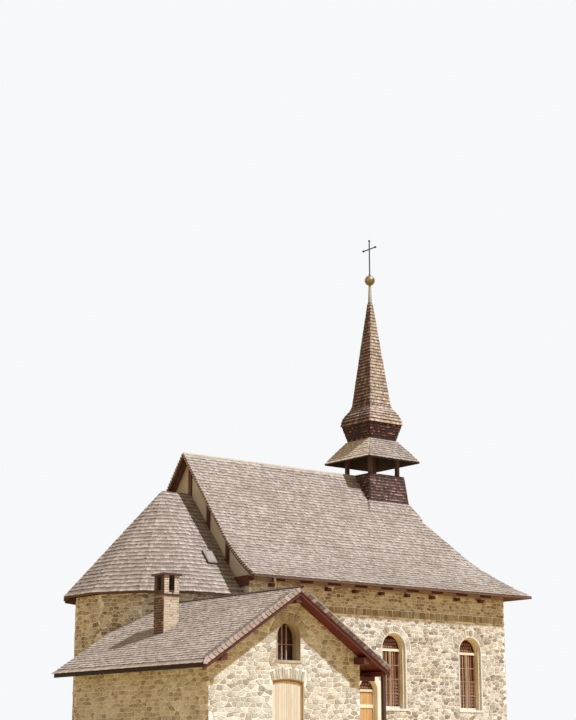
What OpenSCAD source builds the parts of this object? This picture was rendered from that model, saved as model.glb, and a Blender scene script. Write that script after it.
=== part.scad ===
// Small stone chapel with shingled roofs, a ridge turret and a low annex.
// Millimetres, +Z up. The nave's ridge runs along X, with the polygonal chancel
// at -X and the hipped entrance end at +X. The annex stands on the -Y side.
// The origin is on the ground under the middle of the nave.

/* [Nave] */
// Outer length of the nave walls
nave_l = 12200; // [11600:100:13000]
// Outer width of the nave walls
nave_w = 7240; // [7000:20:7400]
// Height of the nave's stone walls
nave_wall_h = 6080; // [6000:10:6120]
// Thickness of the stone walls of nave and chancel
wall_t = 600; // [500:10:620]
// Height of the nave's ridge
nave_ridge_z = 10980; // [10900:10:11100]
// Fall of the upper nave roof for each unit of width
nave_fall = 1.245; // [1.23:0.005:1.26]
// Half width of the roof at the knee where it starts to flare
knee_w = 2790; // [2700:10:2850]
// Fall of the roof just below the knee
flare_fall = 1.0; // [0.9:0.01:1.1]
// Half width of the nave roof at the eaves
nave_eave_w = 4400; // [4300:10:4450]
// Height of the nave roof's top face at the eaves
nave_eave_z = 6210; // [6190:5:6240]
// Overhang of the roof past the timber gable
nave_verge = 360; // [300:10:400]
// Upright thickness of boards and shingles on nave and chancel
roof_t = 80; // [60:5:100]

/* [Nave openings] */
// Width of a nave window in the wall's face
window_w = 1130; // [1000:10:1200]
// Height of a nave window's spring line
window_spring_z = 4040; // [3900:10:4100]
// Height of a nave window's sill
window_sill_z = 1900; // [1700:10:2200]
// Distance between the middles of the nave windows
window_pitch = 3820; // [3700:10:3900]
// Middle of the window beside the side door
window_mid_x = 420; // [400:10:450]
// Middle of the side door
side_door_x = -830; // [-860:10:-820]
// Width of the side door
side_door_w = 850; // [800:10:900]
// Height of the side door's spring line
side_door_spring_z = 2520; // [2400:10:2600]
// Width of the entrance door
entrance_w = 1400; // [1200:10:1500]
// Height of the entrance door's spring line
entrance_spring_z = 2700; // [2500:10:2800]
// Width of the plaster band round a doorway
band_w = 220; // [180:10:230]
// Top of the stone floors
floor_z = 200; // [150:10:250]

/* [Chancel] */
// Height of the chancel's ridge
chancel_ridge_z = 9500; // [9400:10:9600]
// Fall of the chancel roof for each unit of width
chancel_fall = 1.16; // [1.14:0.005:1.18]
// Half width of the chancel roof at the eaves
chancel_eave_w = 3350; // [3300:10:3400]
// Outer half width of the chancel walls
chancel_half_w = 2950; // [2900:10:3000]
// Distance from the timber gable to the middle of the apse
apse_from_gable = 1220; // [1100:10:1300]
// Width of a chancel window
chancel_window_w = 640; // [560:10:700]

/* [Annex] */
// Middle line of the annex roof
annex_x = -8760; // [-8780:10:-8740]
// Height of the annex ridge
annex_ridge_z = 5190; // [5150:10:5230]
// Fall of the annex roof for each unit of width
annex_fall = 0.655; // [0.64:0.005:0.67]
// Half width of the annex roof at the eaves
annex_eave_w = 3520; // [3450:10:3550]
// Upright thickness of the annex roof
annex_roof_t = 170; // [140:5:180]
// Face of the annex roof's front verge
annex_verge_y = -9850; // [-9900:10:-9800]
// Overhang of the annex roof past its front wall
annex_verge = 600; // [550:10:650]
// Outer faces of the annex's side walls
annex_left_x = -11690; // [-11750:10:-11650]
annex_right_x = -5990; // [-6000:5:-5980]
// Thickness of the annex walls
annex_wall_t = 500; // [450:10:550]
// Height of the annex's side walls
annex_wall_h = 2850; // [2800:10:2900]
// Back face of the annex's rear wall
annex_rear_y = -1700; // [-1750:10:-1650]
// Middle of the annex door and window
annex_door_x = -8780; // [-8800:10:-8760]
// Width of the annex doorway
annex_door_w = 1190; // [1150:10:1200]
// Height of the annex doorway at its sides and in its middle
annex_door_side_z = 2430; // [2400:10:2450]
annex_door_top_z = 2500; // [2480:5:2520]
// Width, sill and spring line of the annex window
annex_window_w = 900; // [850:10:950]
annex_window_sill_z = 3040; // [3000:10:3100]
annex_window_spring_z = 3740; // [3700:10:3760]
// Side of the square chimney
chimney_w = 570; // [540:10:600]

/* [Turret] */
// Middle of the turret along the ridge
turret_x = 2630; // [2600:10:2660]
// Half width of the turret box at its top and at its foot
box_top_w = 890; // [870:10:910]
box_foot_w = 1010; // [990:10:1030]
// Height of the turret box's top
box_top_z = 11010; // [11000:5:11030]
// Half width and height of the skirt roof's eaves
skirt_w = 1340; // [1300:10:1380]
skirt_z = 11600; // [11580:10:11620]
// Half width and height of the drum's foot
drum_w = 680; // [670:5:690]
drum_z = 12480; // [12460:10:12500]
// Half width and height of the spire's eaves
spire_w = 875; // [860:5:890]
spire_z = 13110; // [13090:10:13130]
// Height of the shingled spire's tip
spire_tip_z = 18250; // [18150:10:18350]
// Diameter of the gilded ball
ball_d = 420; // [380:5:430]
// Top of the cross
cross_top_z = 20950; // [20850:10:21050]

/* [Hidden] */

nave_x0 = -nave_l / 2;
nave_x1 = nave_l / 2;
nave_half_w = nave_w / 2;
flare_n = 5;
knee_z = nave_ridge_z - nave_fall * knee_w;
flare_w = nave_eave_w - knee_w;
eave_fall = 2 * (knee_z - nave_eave_z) / flare_w - flare_fall;
end_overhang = nave_eave_w - nave_half_w;
hip_x = nave_x1 + end_overhang - nave_eave_w;
apse_x = nave_x0 - apse_from_gable;
apse_turn = 30;
apse_n = 5;
chancel_wall_h = 5560;
far = 30000;

stone = "#b6aa8c";
shingle = "#b3a193";
dark_shingle = "#5a3a33";
timber = "#6b2f1f";
plaster = "#d9c7a0";
cream = "#efe0b8";
larch = "#c49a62";
dark_glass = "#3a3330";
gilt = "#c79a3e";
iron = "#2e2a28";

// Profiles and helpers

// Height of the nave roof's top face at a distance w from the ridge
function nave_z(w) = w <= knee_w
    ? nave_ridge_z - nave_fall * w
    : let (u = w - knee_w)
        knee_z - flare_fall * u - (eave_fall - flare_fall) * u * u / (2 * flare_w);

// Points of one slope of the nave roof from the ridge to the eaves
function nave_slope(drop = 0) = concat(
    [[0, nave_ridge_z - drop]],
    [for (i = [0:flare_n]) let (w = knee_w + i * flare_w / flare_n) [w, nave_z(w) - drop]]);

function reversed(list) = [for (i = [len(list) - 1:-1:0]) list[i]];
function flipped(list) = [for (p = list) [-p[0], p[1]]];

// Height of the chancel roof's top face at a distance w from its ridge
function chancel_z(w) = chancel_ridge_z - chancel_fall * w;

// Height of the annex roof's underside above a place x
function annex_under_z(x) = annex_ridge_z - annex_fall * abs(x - annex_x) - annex_roof_t;

// A profile in Y and Z, drawn out along X
module along_x(x0, x1) {
    translate([x0, 0, 0]) rotate([90, 0, 90]) linear_extrude(x1 - x0) children();
}

// A profile in X and Z, drawn out along Y
module along_y(y0, y1) {
    translate([0, y1, 0]) rotate([90, 0, 0]) linear_extrude(y1 - y0) children();
}

// A box from its lowest to its highest corner
module block(low, high) {
    translate(low) cube(high - low);
}

// A square frustum or stack of them, from pairs of half width and height
module square_stack(points, cx = 0) {
    outline = concat(points, reversed(flipped(points)));
    translate([cx, 0, 0]) intersection() {
        along_x(-far, far) polygon(outline);
        along_y(-far, far) polygon(outline);
    }
}

// A round-arched opening, as a flat shape with its foot at y0
module arch(w, y0, spring) {
    translate([-w / 2, y0]) square([w, spring - y0]);
    translate([0, spring]) circle(d = w, $fn = 48);
}

// The space under the nave roof's top face
module under_nave_roof() {
    slope = nave_slope();
    outline = concat(flipped(reversed(slope)), slope, [[nave_eave_w, 0], [-nave_eave_w, 0]]);
    end = concat(slope, [[nave_eave_w, 0], [-far, 0], [-far, nave_ridge_z]]);
    intersection() {
        along_x(nave_x0 - nave_verge, nave_x1 + end_overhang) polygon(outline);
        translate([hip_x, 0, 0]) along_y(-far / 4, far / 4) polygon(end);
    }
}

// Outline of the chancel and apse at a distance w from the middle line
function apse_corner(i, w) = let (a = apse_turn * (i + 0.5), r = w / cos(apse_turn / 2))
    [apse_x - r * sin(a), -r * cos(a)];
function chancel_outline(w, x1) = concat(
    [[x1, -w]],
    [for (i = [0:apse_n]) apse_corner(i, w)],
    [[x1, w]]);

module chancel_prism(w, h, x1 = nave_x0) {
    linear_extrude(h) polygon(chancel_outline(w, x1));
}

// The space under the chancel roof's top face
module under_chancel_roof() {
    for (i = [0:apse_n - 1]) apse_wedge(i) polygon([
        [0, 0], [chancel_eave_w, 0],
        [chancel_eave_w, chancel_z(chancel_eave_w)], [0, chancel_ridge_z]]);
    along_x(apse_x, nave_x0) polygon([
        [-chancel_eave_w, 0], [chancel_eave_w, 0],
        [chancel_eave_w, chancel_z(chancel_eave_w)], [0, chancel_ridge_z],
        [-chancel_eave_w, chancel_z(chancel_eave_w)]]);
}

// A radial profile of one side of the apse, cut to its wedge
module apse_wedge(i) {
    half = apse_turn / 2;
    reach = 5000;
    translate([apse_x, 0, 0]) rotate([0, 0, -90 - apse_turn * (i + 1)]) intersection() {
        along_y(-reach, reach) children();
        linear_extrude(far) polygon([
            [0, 0], [reach, -reach * tan(half)], [reach, reach * tan(half)]]);
    }
}

// Nave

// Floor of nave and chancel, on one level
module stone_floor() {
    color(stone) {
        block(
            [nave_x0 + wall_t, -nave_half_w + wall_t, 0],
            [nave_x1 - wall_t, nave_half_w - wall_t, floor_z]);
        linear_extrude(floor_z)
            polygon(chancel_outline(chancel_half_w - wall_t, nave_x0 + wall_t));
    }
}

tie_z0 = 5900;
tie_z1 = 6250;
tie_front = 80;
tie_back = 150;

module tie_beam_box() {
    block([nave_x0 - tie_front, -nave_half_w, tie_z0], [nave_x0 + tie_back, nave_half_w, tie_z1]);
}

// Openings of a long nave wall, cut through from side to side
module nave_window_cuts(y0, y1) {
    for (i = [-1:1]) translate([window_mid_x + i * window_pitch, 0, 0])
        along_y(y0, y1) arch(window_w, window_sill_z, window_spring_z);
}

module nave_front_wall() {
    color(stone) difference() {
        block([nave_x0, -nave_half_w, 0], [nave_x1, -nave_half_w + wall_t, nave_wall_h]);
        nave_window_cuts(-nave_w, 0);
        translate([side_door_x, 0, 0]) along_y(-nave_w, 0)
            arch(side_door_w, floor_z, side_door_spring_z);
        tie_beam_box();
    }
}

module nave_back_wall() {
    color(stone) difference() {
        block([nave_x0, nave_half_w - wall_t, 0], [nave_x1, nave_half_w, nave_wall_h]);
        nave_window_cuts(0, nave_w);
        tie_beam_box();
    }
}

end_window_y = 2150;

module entrance_wall() {
    inner = nave_half_w - wall_t;
    color(stone) difference() {
        block([nave_x1 - wall_t, -inner, 0], [nave_x1, inner, nave_wall_h]);
        along_x(0, far) arch(entrance_w, floor_z, entrance_spring_z);
        for (s = [-1, 1]) along_x(0, far) translate([s * end_window_y, 0])
            arch(end_window_w, window_sill_z, window_spring_z);
    }
}

end_window_w = 760;

module chancel_piers() {
    inner = chancel_half_w - wall_t;
    color(stone) for (s = [-1, 1]) {
        y = [s * inner, s * (nave_half_w - wall_t)];
        block([nave_x0, min(y), 0], [nave_x0 + wall_t, max(y), tie_z0]);
    }
}

panel_t = 150;

module gable_outline(z0, w) {
    slope = [for (p = nave_slope(roof_t)) if (p[0] < w) p];
    side = [w, nave_z(w) - roof_t];
    polygon(concat([[w, z0], side], reversed(slope), flipped(slope), [[-w, side[1]], [-w, z0]]));
}

module gable_panels() {
    color(plaster) along_x(nave_x0, nave_x0 + panel_t) gable_outline(tie_z1, nave_half_w);
}

post_w = 190;
post_t = 50;
post_pitch = 1180;

// Tie beam across the gable and the posts that stand on it
module gable_frame() {
    color(timber) difference() {
        union() {
            tie_beam_box();
            intersection() {
                along_x(nave_x0 - post_t, nave_x0) gable_outline(tie_z1, nave_half_w);
                for (i = [-2:2]) translate([0, i * post_pitch, 0]) block(
                    [nave_x0 - post_t, -post_w / 2, tie_z1],
                    [nave_x0, post_w / 2, nave_ridge_z]);
            }
        }
        under_chancel_roof();
    }
}

plate_w = 200;
plate_h = 140;
plate_top = nave_wall_h + plate_h;

// Plates on the walls, upright blocks under the roof and ends of the ceiling beams
module nave_eave_timbers() {
    color(timber) {
        wall_plates();
        eave_blocks();
        beam_ends();
    }
}

plate_joint = 2;

module wall_plates() {
    inner = nave_half_w - plate_w;
    for (s = [-1, 1]) {
        y = [s * inner, s * nave_half_w];
        block([nave_x0 + tie_back, min(y), nave_wall_h], [nave_x1, max(y), plate_top]);
    }
    block(
        [nave_x1 - plate_w, -inner + plate_joint, nave_wall_h],
        [nave_x1, inner - plate_joint, plate_top]);
}

block_l = 660;
beam_pitch = 1250;
beam_first = nave_x0 + 800;
beam_n = 9;

// Upright blocks between plate and roof, with open bays between them
module eave_blocks() {
    for (i = [0:beam_n - 1], s = [-1, 1]) {
        x = beam_first + i * beam_pitch + 300;
        along_x(x, min(x + block_l, nave_x1 - plate_w)) eave_block_outline(s);
    }
    for (i = [-2:2]) along_y(i * beam_pitch - block_l / 2, i * beam_pitch + block_l / 2)
        translate([hip_x, 0]) eave_block_outline(1);
}

// A block's outline, with its top along the bent underside of the roof
module eave_block_outline(s) {
    w = [nave_half_w - plate_w, nave_half_w];
    under = nave_slope(roof_t);
    bends = [for (p = under) if (p[0] > w[0] && p[0] < w[1]) [s * p[0], p[1]]];
    polygon(concat(
        [[s * w[1], plate_top], [s * w[0], plate_top], [s * w[0], lookup(w[0], under)]],
        bends,
        [[s * w[1], lookup(w[1], under)]]));
}

beam_w = 160;
beam_h = 110;
beam_out = 200;

// Ends of the ceiling beams that stand out of the long walls
module beam_ends() {
    for (i = [0:beam_n - 1], s = [-1, 1]) {
        y = [s * nave_half_w, s * (nave_half_w + beam_out)];
        block(
            [beam_first + i * beam_pitch, min(y), nave_wall_h - 60 - beam_h],
            [beam_first + i * beam_pitch + beam_w, max(y), nave_wall_h - 60]);
    }
}

// One slope of the nave roof along X, on side s of the ridge
module nave_slope_slab(s) {
    top = nave_slope();
    slab = concat(top, reversed(nave_slope(roof_t)));
    x0 = nave_x0 - nave_verge;
    reach = 6000;
    intersection() {
        along_x(x0, nave_x1 + end_overhang) polygon([for (p = slab) [s * p[0], p[1]]]);
        linear_extrude(far) polygon([
            [x0, 0], [hip_x, 0], [hip_x + reach, s * reach], [x0, s * reach]]);
    }
}

module nave_roof_front() {
    color(shingle) nave_slope_slab(-1);
}

module nave_roof_back() {
    color(shingle) nave_slope_slab(1);
}

module nave_roof_hip() {
    slab = concat(nave_slope(), reversed(nave_slope(roof_t)));
    reach = 6000;
    color(shingle) intersection() {
        translate([hip_x, 0, 0]) along_y(-reach, reach) polygon(slab);
        linear_extrude(far) polygon([
            [hip_x, 0], [hip_x + reach, -reach], [hip_x + reach, reach]]);
    }
}

ridge_board_w = 140;
ridge_board_t = 30;

// Two boards that cap the ridge up to the turret
module nave_ridge_boards() {
    w = ridge_board_w;
    color(shingle) difference() {
        along_x(nave_x0 - nave_verge, turret_x) polygon([
            [0, nave_ridge_z], [w, nave_z(w)], [w, nave_z(w) + ridge_board_t],
            [0, nave_ridge_z + ridge_board_t],
            [-w, nave_z(w) + ridge_board_t], [-w, nave_z(w)]]);
        turret_box_body();
    }
}

verge_board_t = 30;
verge_board_h = 110;

// Boards under the edge of the roof at the timber gable
module nave_verge_boards() {
    x = nave_x0 - nave_verge;
    under = nave_slope(roof_t);
    strip = concat(under, reversed(nave_slope(roof_t + verge_board_h)));
    color(timber) difference() {
        for (s = [-1, 1]) along_x(x + 20, x + 20 + verge_board_t)
            polygon([for (p = strip) [s * p[0], p[1]]]);
        under_chancel_roof();
    }
}

pipe_d = 90;
pipe_x = nave_x0 + 1030;

// Rain pipe on the front wall, from the eaves down to the annex roof
module downpipe() {
    y = -nave_half_w - 90;
    foot = annex_ridge_z - annex_fall * (pipe_x - annex_x);
    top = nave_z(-y) - roof_t - 40;
    color("white") {
        translate([pipe_x, y, 300]) cylinder(d = pipe_d, h = top - 300, $fn = 32);
        for (z = [foot + 600, nave_wall_h - 500, 1200])
            block([pipe_x - 20, y, z], [pipe_x + 20, -nave_half_w, z + 40]);
    }
}

// Chancel and apse

module chancel_side_wall(s, cut) {
    outer = chancel_outline(chancel_half_w, nave_x0);
    inner = chancel_outline(chancel_half_w - wall_t, nave_x0);
    color(stone) difference() {
        linear_extrude(chancel_wall_h) polygon([
            [outer[0][0], s * chancel_half_w], [outer[1][0], s * chancel_half_w],
            [inner[1][0], s * (chancel_half_w - wall_t)],
            [inner[0][0], s * (chancel_half_w - wall_t)]]);
        if (cut) translate([chancel_window_x, 0, 0]) along_y(0, far)
            arch(chancel_window_w, chancel_sill_z, chancel_spring_z);
    }
}

chancel_window_x = nave_x0 - 900;
chancel_sill_z = 2400;
chancel_spring_z = 3900;
apse_window_side = 3;

module chancel_front_wall() {
    chancel_side_wall(-1, false);
}

module chancel_back_wall() {
    chancel_side_wall(1, true);
}

module apse_walls() {
    outer = [for (i = [0:apse_n]) apse_corner(i, chancel_half_w)];
    inner = [for (i = [apse_n:-1:0]) apse_corner(i, chancel_half_w - wall_t)];
    color(stone) difference() {
        linear_extrude(chancel_wall_h) polygon(concat(outer, inner));
        apse_side_place(apse_window_side) along_x(0, far)
            arch(chancel_window_w, chancel_sill_z, chancel_spring_z);
    }
}

module apse_side_place(i) {
    translate([apse_x, 0, 0]) rotate([0, 0, -90 - apse_turn * (i + 1)]) children();
}

mitre_gap = 1;

// A block between the chancel's plates and its roof, in section
module chancel_block_outline(s = 1) {
    z0 = chancel_wall_h + plate_h;
    w = [chancel_half_w - plate_w, chancel_half_w];
    polygon([
        [s * w[0], z0], [s * w[1], z0],
        [s * w[1], chancel_z(w[1]) - roof_t - mitre_gap],
        [s * w[0], chancel_z(w[0]) - roof_t - mitre_gap]]);
}

// Timber plates on the chancel walls, and upright blocks with open bays between them
module chancel_wall_plates() {
    inner = chancel_outline(chancel_half_w - plate_w, nave_x0);
    mid_x = (nave_x0 + apse_x) / 2;
    color(timber) {
        translate([0, 0, chancel_wall_h]) linear_extrude(plate_h)
            polygon(concat(chancel_outline(chancel_half_w, nave_x0), reversed(inner)));
        for (i = [0:apse_n - 1]) apse_side_place(i)
            along_y(-block_l / 2, block_l / 2) chancel_block_outline();
        for (s = [-1, 1]) along_x(mid_x - block_l / 2, mid_x + block_l / 2)
            chancel_block_outline(s);
    }
}

chancel_slab = [
    [0, chancel_ridge_z], [chancel_eave_w, chancel_z(chancel_eave_w)],
    [chancel_eave_w, chancel_z(chancel_eave_w) - roof_t], [0, chancel_ridge_z - roof_t]];

// One slope of the chancel roof, mitred against the apse roof
module chancel_slope_slab(s) {
    reach = 5000;
    x0 = apse_x + mitre_gap;
    color(shingle) intersection() {
        along_x(apse_x - reach, nave_x0) polygon([for (p = chancel_slab) [s * p[0], p[1]]]);
        linear_extrude(far) polygon([
            [nave_x0, 0], [x0, 0],
            [x0 - reach * tan(apse_turn / 2), s * reach], [nave_x0, s * reach]]);
    }
}

module chancel_roof_front() {
    chancel_slope_slab(-1);
}

module chancel_roof_back() {
    chancel_slope_slab(1);
}

// The apse roof: flat triangles from the ridge's end down to the eaves of each side
module apse_roof() {
    eave_z = chancel_z(chancel_eave_w);
    corners = [for (i = [0:apse_n]) apse_corner(i, chancel_eave_w)];
    ends = [[apse_x, 0, chancel_ridge_z], [apse_x, 0, chancel_ridge_z - roof_t]];
    points = concat(
        ends,
        [for (c = corners) [c[0], c[1], eave_z]],
        [for (c = corners) [c[0], c[1], eave_z - roof_t]]);
    top = 2;
    low = top + apse_n + 1;
    color(shingle) polyhedron(points, concat(
        [for (i = [0:apse_n - 1]) [0, top + i, top + i + 1]],
        [for (i = [0:apse_n - 1]) [1, low + i + 1, low + i]],
        [for (i = [0:apse_n - 1]) [top + i + 1, top + i, low + i, low + i + 1]],
        [[top, 0, 1, low], [0, top + apse_n, low + apse_n, 1]]));
}

hatch_w = 430;
hatch_l = 620;
hatch_h = 90;

// Small raised hatch on the front slope of the chancel roof
module roof_hatch() {
    y = -2250;
    color(iron) translate([nave_x0 - 720, y, chancel_z(-y)])
        rotate([atan(chancel_fall), 0, 0])
        block([-hatch_w / 2, -hatch_l / 2, 0], [hatch_w / 2, hatch_l / 2, hatch_h]);
}

// Annex

annex_front_y = annex_verge_y + annex_verge;
annex_inner_y = annex_front_y + annex_wall_t;
annex_roof_rear_y = annex_rear_y + 350;
annex_floor_z = 150;

// What the annex leans against: the chancel and the nave walls
module behind_annex() {
    chancel_prism(chancel_half_w, far);
    block([nave_x0, -nave_half_w, 0], [nave_x1, 0, far]);
}

module annex_floor() {
    half_door = annex_door_w / 2;
    color(stone) difference() {
        union() {
            block(
                [annex_left_x + annex_wall_t, annex_inner_y, 0],
                [annex_right_x - annex_wall_t, annex_rear_y - annex_wall_t, annex_floor_z]);
            block(
                [annex_door_x - half_door, annex_front_y, 0],
                [annex_door_x + half_door, annex_inner_y, annex_floor_z]);
        }
        behind_annex();
        chimney_shaft();
    }
}

module annex_front_wall_left() {
    color(stone) block(
        [annex_left_x, annex_front_y, 0],
        [annex_door_x - annex_door_w / 2, annex_inner_y, annex_door_side_z]);
}

module annex_front_wall_right() {
    color(stone) block(
        [annex_door_x + annex_door_w / 2, annex_front_y, 0],
        [annex_right_x, annex_inner_y, annex_door_side_z]);
}

// A flat arch over a doorway: a slice of a circle above the side height
module flat_arch(w, side_z, top_z) {
    rise = top_z - side_z;
    r = (w * w / 4 + rise * rise) / (2 * rise);
    intersection() {
        translate([0, top_z - r]) circle(r = r, $fn = 180);
        translate([-w / 2, side_z]) square([w, 2 * rise]);
    }
}

module annex_gable() {
    color(stone) difference() {
        along_y(annex_front_y, annex_inner_y) polygon([
            [annex_left_x, annex_door_side_z], [annex_right_x, annex_door_side_z],
            [annex_right_x, annex_under_z(annex_right_x)], [annex_x, annex_under_z(annex_x)],
            [annex_left_x, annex_under_z(annex_left_x)]]);
        translate([annex_door_x, 0, 0]) along_y(-far, 0) {
            flat_arch(annex_door_w, annex_door_side_z, annex_door_top_z);
            arch(annex_window_w, annex_window_sill_z, annex_window_spring_z);
        }
    }
}

module annex_left_wall() {
    color(stone) block(
        [annex_left_x, annex_inner_y, 0],
        [annex_left_x + annex_wall_t, annex_rear_y - annex_wall_t, annex_wall_h]);
}

module annex_right_wall() {
    inner = annex_right_x - annex_wall_t;
    color(stone) linear_extrude(annex_wall_h) polygon([
        [inner, annex_inner_y], [annex_right_x, annex_inner_y],
        [annex_right_x, -nave_half_w], [nave_x0, -nave_half_w],
        [nave_x0, -chancel_half_w], [inner, -chancel_half_w]]);
}

module annex_rear_wall() {
    x1 = annex_x;
    color(stone) difference() {
        along_y(annex_rear_y - annex_wall_t, annex_rear_y) polygon([
            [annex_left_x, 0], [x1, 0], [x1, annex_under_z(x1)],
            [annex_left_x, annex_under_z(annex_left_x)]]);
        behind_annex();
    }
}

annex_plate_w = 300;

// Timbers on the annex's side walls, up to the underside of the roof
module annex_wall_plates() {
    inner = annex_right_x - annex_plate_w;
    color(timber) {
        along_y(annex_inner_y, annex_rear_y - annex_wall_t)
            annex_plate_outline(annex_left_x, annex_left_x + annex_plate_w);
        along_y(annex_inner_y, -nave_half_w) annex_plate_outline(inner, annex_right_x);
    }
}

module annex_plate_outline(x0, x1) {
    polygon([
        [x0, annex_wall_h], [x1, annex_wall_h],
        [x1, annex_under_z(x1)], [x0, annex_under_z(x0)]]);
}

// One slope of the annex roof, on side s of its ridge
module annex_slab(s, y0, y1, drop, depth) {
    low = annex_ridge_z - annex_fall * annex_eave_w;
    translate([annex_x, 0, 0]) along_y(y0, y1) polygon([
        [0, annex_ridge_z - drop], [s * annex_eave_w, low - drop],
        [s * annex_eave_w, low - drop - depth], [0, annex_ridge_z - drop - depth]]);
}

module annex_roof_left() {
    color(shingle) difference() {
        annex_slab(-1, annex_verge_y, annex_roof_rear_y, 0, annex_roof_t);
        behind_annex();
        chimney_shaft();
    }
}

module annex_roof_right() {
    color(shingle) difference() {
        annex_slab(1, annex_verge_y, annex_roof_rear_y, 0, annex_roof_t);
        behind_annex();
    }
}

barge_t = 50;
barge_h = 90;

module annex_barge_boards() {
    color(timber) for (s = [-1, 1])
        annex_slab(s, annex_verge_y + 20, annex_verge_y + 20 + barge_t, annex_roof_t, barge_h);
}

purlin_h = 200;
purlin_w = 240;

// Ends of the timbers that carry the annex roof past its front wall
module purlin_ends() {
    y0 = annex_verge_y + 20 + barge_t + 20;
    places = [
        [annex_x - purlin_w / 2, annex_x + purlin_w / 2],
        [annex_left_x + 60, annex_left_x + 60 + purlin_w],
        [annex_right_x - purlin_w, annex_right_x]];
    for (p = places) {
        top = min(annex_under_z(p[0]), annex_under_z(p[1]));
        block([p[0], y0, top - purlin_h], [p[1], annex_front_y, top]);
    }
}

porch_purlin_x = annex_x + annex_eave_w - 260;
porch_purlin_w = 140;
porch_post_w = 110;

// Purlin ends over the front wall, and the purlin and beam that carry the wide eaves
module annex_purlins() {
    color(timber) {
        purlin_ends();
        porch_beams();
    }
}

beam_seat = 2;

module porch_beams() {
    x1 = porch_purlin_x + porch_purlin_w;
    top = annex_under_z(x1);
    block([porch_purlin_x, annex_verge_y + 90, top - 140], [x1, -nave_half_w, top]);
    block(
        [annex_right_x, annex_front_y, top - 270],
        [x1, annex_front_y + 140, top - 140 - beam_seat]);
}

module porch_post() {
    x1 = porch_purlin_x + porch_purlin_w;
    top = annex_under_z(x1) - 140;
    color(timber) block(
        [x1 - porch_post_w, annex_verge_y + 90, 0],
        [x1, annex_verge_y + 90 + porch_post_w, top]);
}

chimney_x = -10610;
chimney_y = -5200;
chimney_shoulder_z = 5200;
chimney_top_z = 5830;
cap_h = 70;

module chimney_shaft() {
    block(
        [chimney_x, chimney_y, 0],
        [chimney_x + chimney_w, chimney_y + chimney_w, chimney_shoulder_z]);
}

ledge = 30;
ledge_h = 50;

module chimney_stack() {
    color(cream) chimney_shaft();
}

// Open head of the chimney: four brick piers with an opening on each side
module chimney_head() {
    chimney_lantern();
}

module chimney_lantern() {
    z0 = chimney_shoulder_z + ledge_h;
    gap = 200;
    mid = [chimney_x + chimney_w / 2, chimney_y + chimney_w / 2];
    color(cream) difference() {
        block([chimney_x, chimney_y, z0],
            [chimney_x + chimney_w, chimney_y + chimney_w, chimney_top_z]);
        block([mid[0] - gap / 2, chimney_y - 10, z0 + 120],
            [mid[0] + gap / 2, chimney_y + chimney_w + 10, chimney_top_z - 40]);
        block([chimney_x - 10, mid[1] - gap / 2, z0 + 120],
            [chimney_x + chimney_w + 10, mid[1] + gap / 2, chimney_top_z - 40]);
    }
}

// A flat slab on the chimney, wider by some overhang
module chimney_slab(over, z0, h) {
    block(
        [chimney_x - over, chimney_y - over, z0],
        [chimney_x + chimney_w + over, chimney_y + chimney_w + over, z0 + h]);
}

// Slabs under and over the chimney's open head
module chimney_slabs() {
    color(dark_shingle) {
        chimney_slab(ledge, chimney_shoulder_z, ledge_h);
        chimney_slab(70, chimney_top_z, cap_h);
    }
}

// Annex door and window

frame_w = 50;
frame_front = 20;
side_gap = 10;
middle_gap = 14;
leaf_t = 45;
leaf_recess = 90;
leaf_y = annex_front_y + leaf_recess;
leaf_back_y = leaf_y + leaf_t;
leaf_edge_x = annex_door_w / 2 - frame_w - side_gap;
leaf_foot_z = annex_floor_z + side_gap;

module annex_doorway(inset) {
    w = annex_door_w - 2 * inset;
    translate([-w / 2, annex_floor_z]) square([w, annex_door_side_z - inset - annex_floor_z]);
    flat_arch(w, annex_door_side_z - inset, annex_door_top_z - inset);
}

module annex_door_frame() {
    color(cream) translate([annex_door_x, 0, 0])
        along_y(leaf_y - frame_front, leaf_back_y) difference() {
            annex_doorway(0);
            difference() {
                annex_doorway(frame_w);
                translate([-annex_door_w, 0]) square([2 * annex_door_w, annex_floor_z]);
            }
        }
}

// One leaf of the annex door, on side s of its middle
module annex_leaf(s) {
    x = [s * middle_gap / 2, s * annex_door_w];
    color(larch) translate([annex_door_x, 0, 0]) along_y(leaf_y, leaf_back_y) intersection() {
        annex_doorway(frame_w + side_gap);
        translate([min(x), leaf_foot_z])
            square([max(x) - min(x), annex_door_top_z]);
    }
}

module annex_door_left() {
    annex_leaf(-1);
}

module annex_door_right() {
    annex_leaf(1);
}

hinge_out = 16;
pin_r = 6;
eye_r = 11;
hinge_play = 0.5;
eye_h = 44;
strap_t = 6;
strap_l = 380;
hinge_zs = [420, 1250, 2080];

// Places its children with the hinge's axis at the origin, X running in over the leaf
module hinge_places(s) {
    for (z = hinge_zs)
        translate([annex_door_x + s * (leaf_edge_x + side_gap / 2), leaf_back_y + hinge_out, z])
        mirror([s > 0 ? 1 : 0, 0, 0]) children();
}

// Pins of the door hinges, on plates on the back of the frame
module door_pins() {
    color(iron) for (s = [-1, 1]) hinge_places(s) {
        translate([0, 0, -28]) cylinder(r = pin_r, h = 28 + eye_h + 6, $fn = 32);
        block([-frame_w + 8, -hinge_out, -40], [-side_gap / 2, -hinge_out + strap_t, eye_h]);
        block([-side_gap / 2 - 1, -hinge_out, -28], [pin_r, pin_r, -2]);
    }
}

// Three straps with their eyes on the back of a leaf
module leaf_straps(s) {
    hinge_places(s) difference() {
        union() {
            cylinder(r = eye_r, h = eye_h, $fn = 48);
            block([0, -hinge_out, 0], [eye_r, 0, eye_h]);
            block([0, -hinge_out, 0], [strap_l, -hinge_out + strap_t, eye_h]);
        }
        translate([0, 0, -1]) cylinder(r = pin_r + hinge_play, h = eye_h + 2, $fn = 48);
    }
}

module door_ironwork_left() {
    color(iron) leaf_straps(-1);
}

handle_z = 1200;
handle_x = 60;
handle_r = 9;

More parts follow.
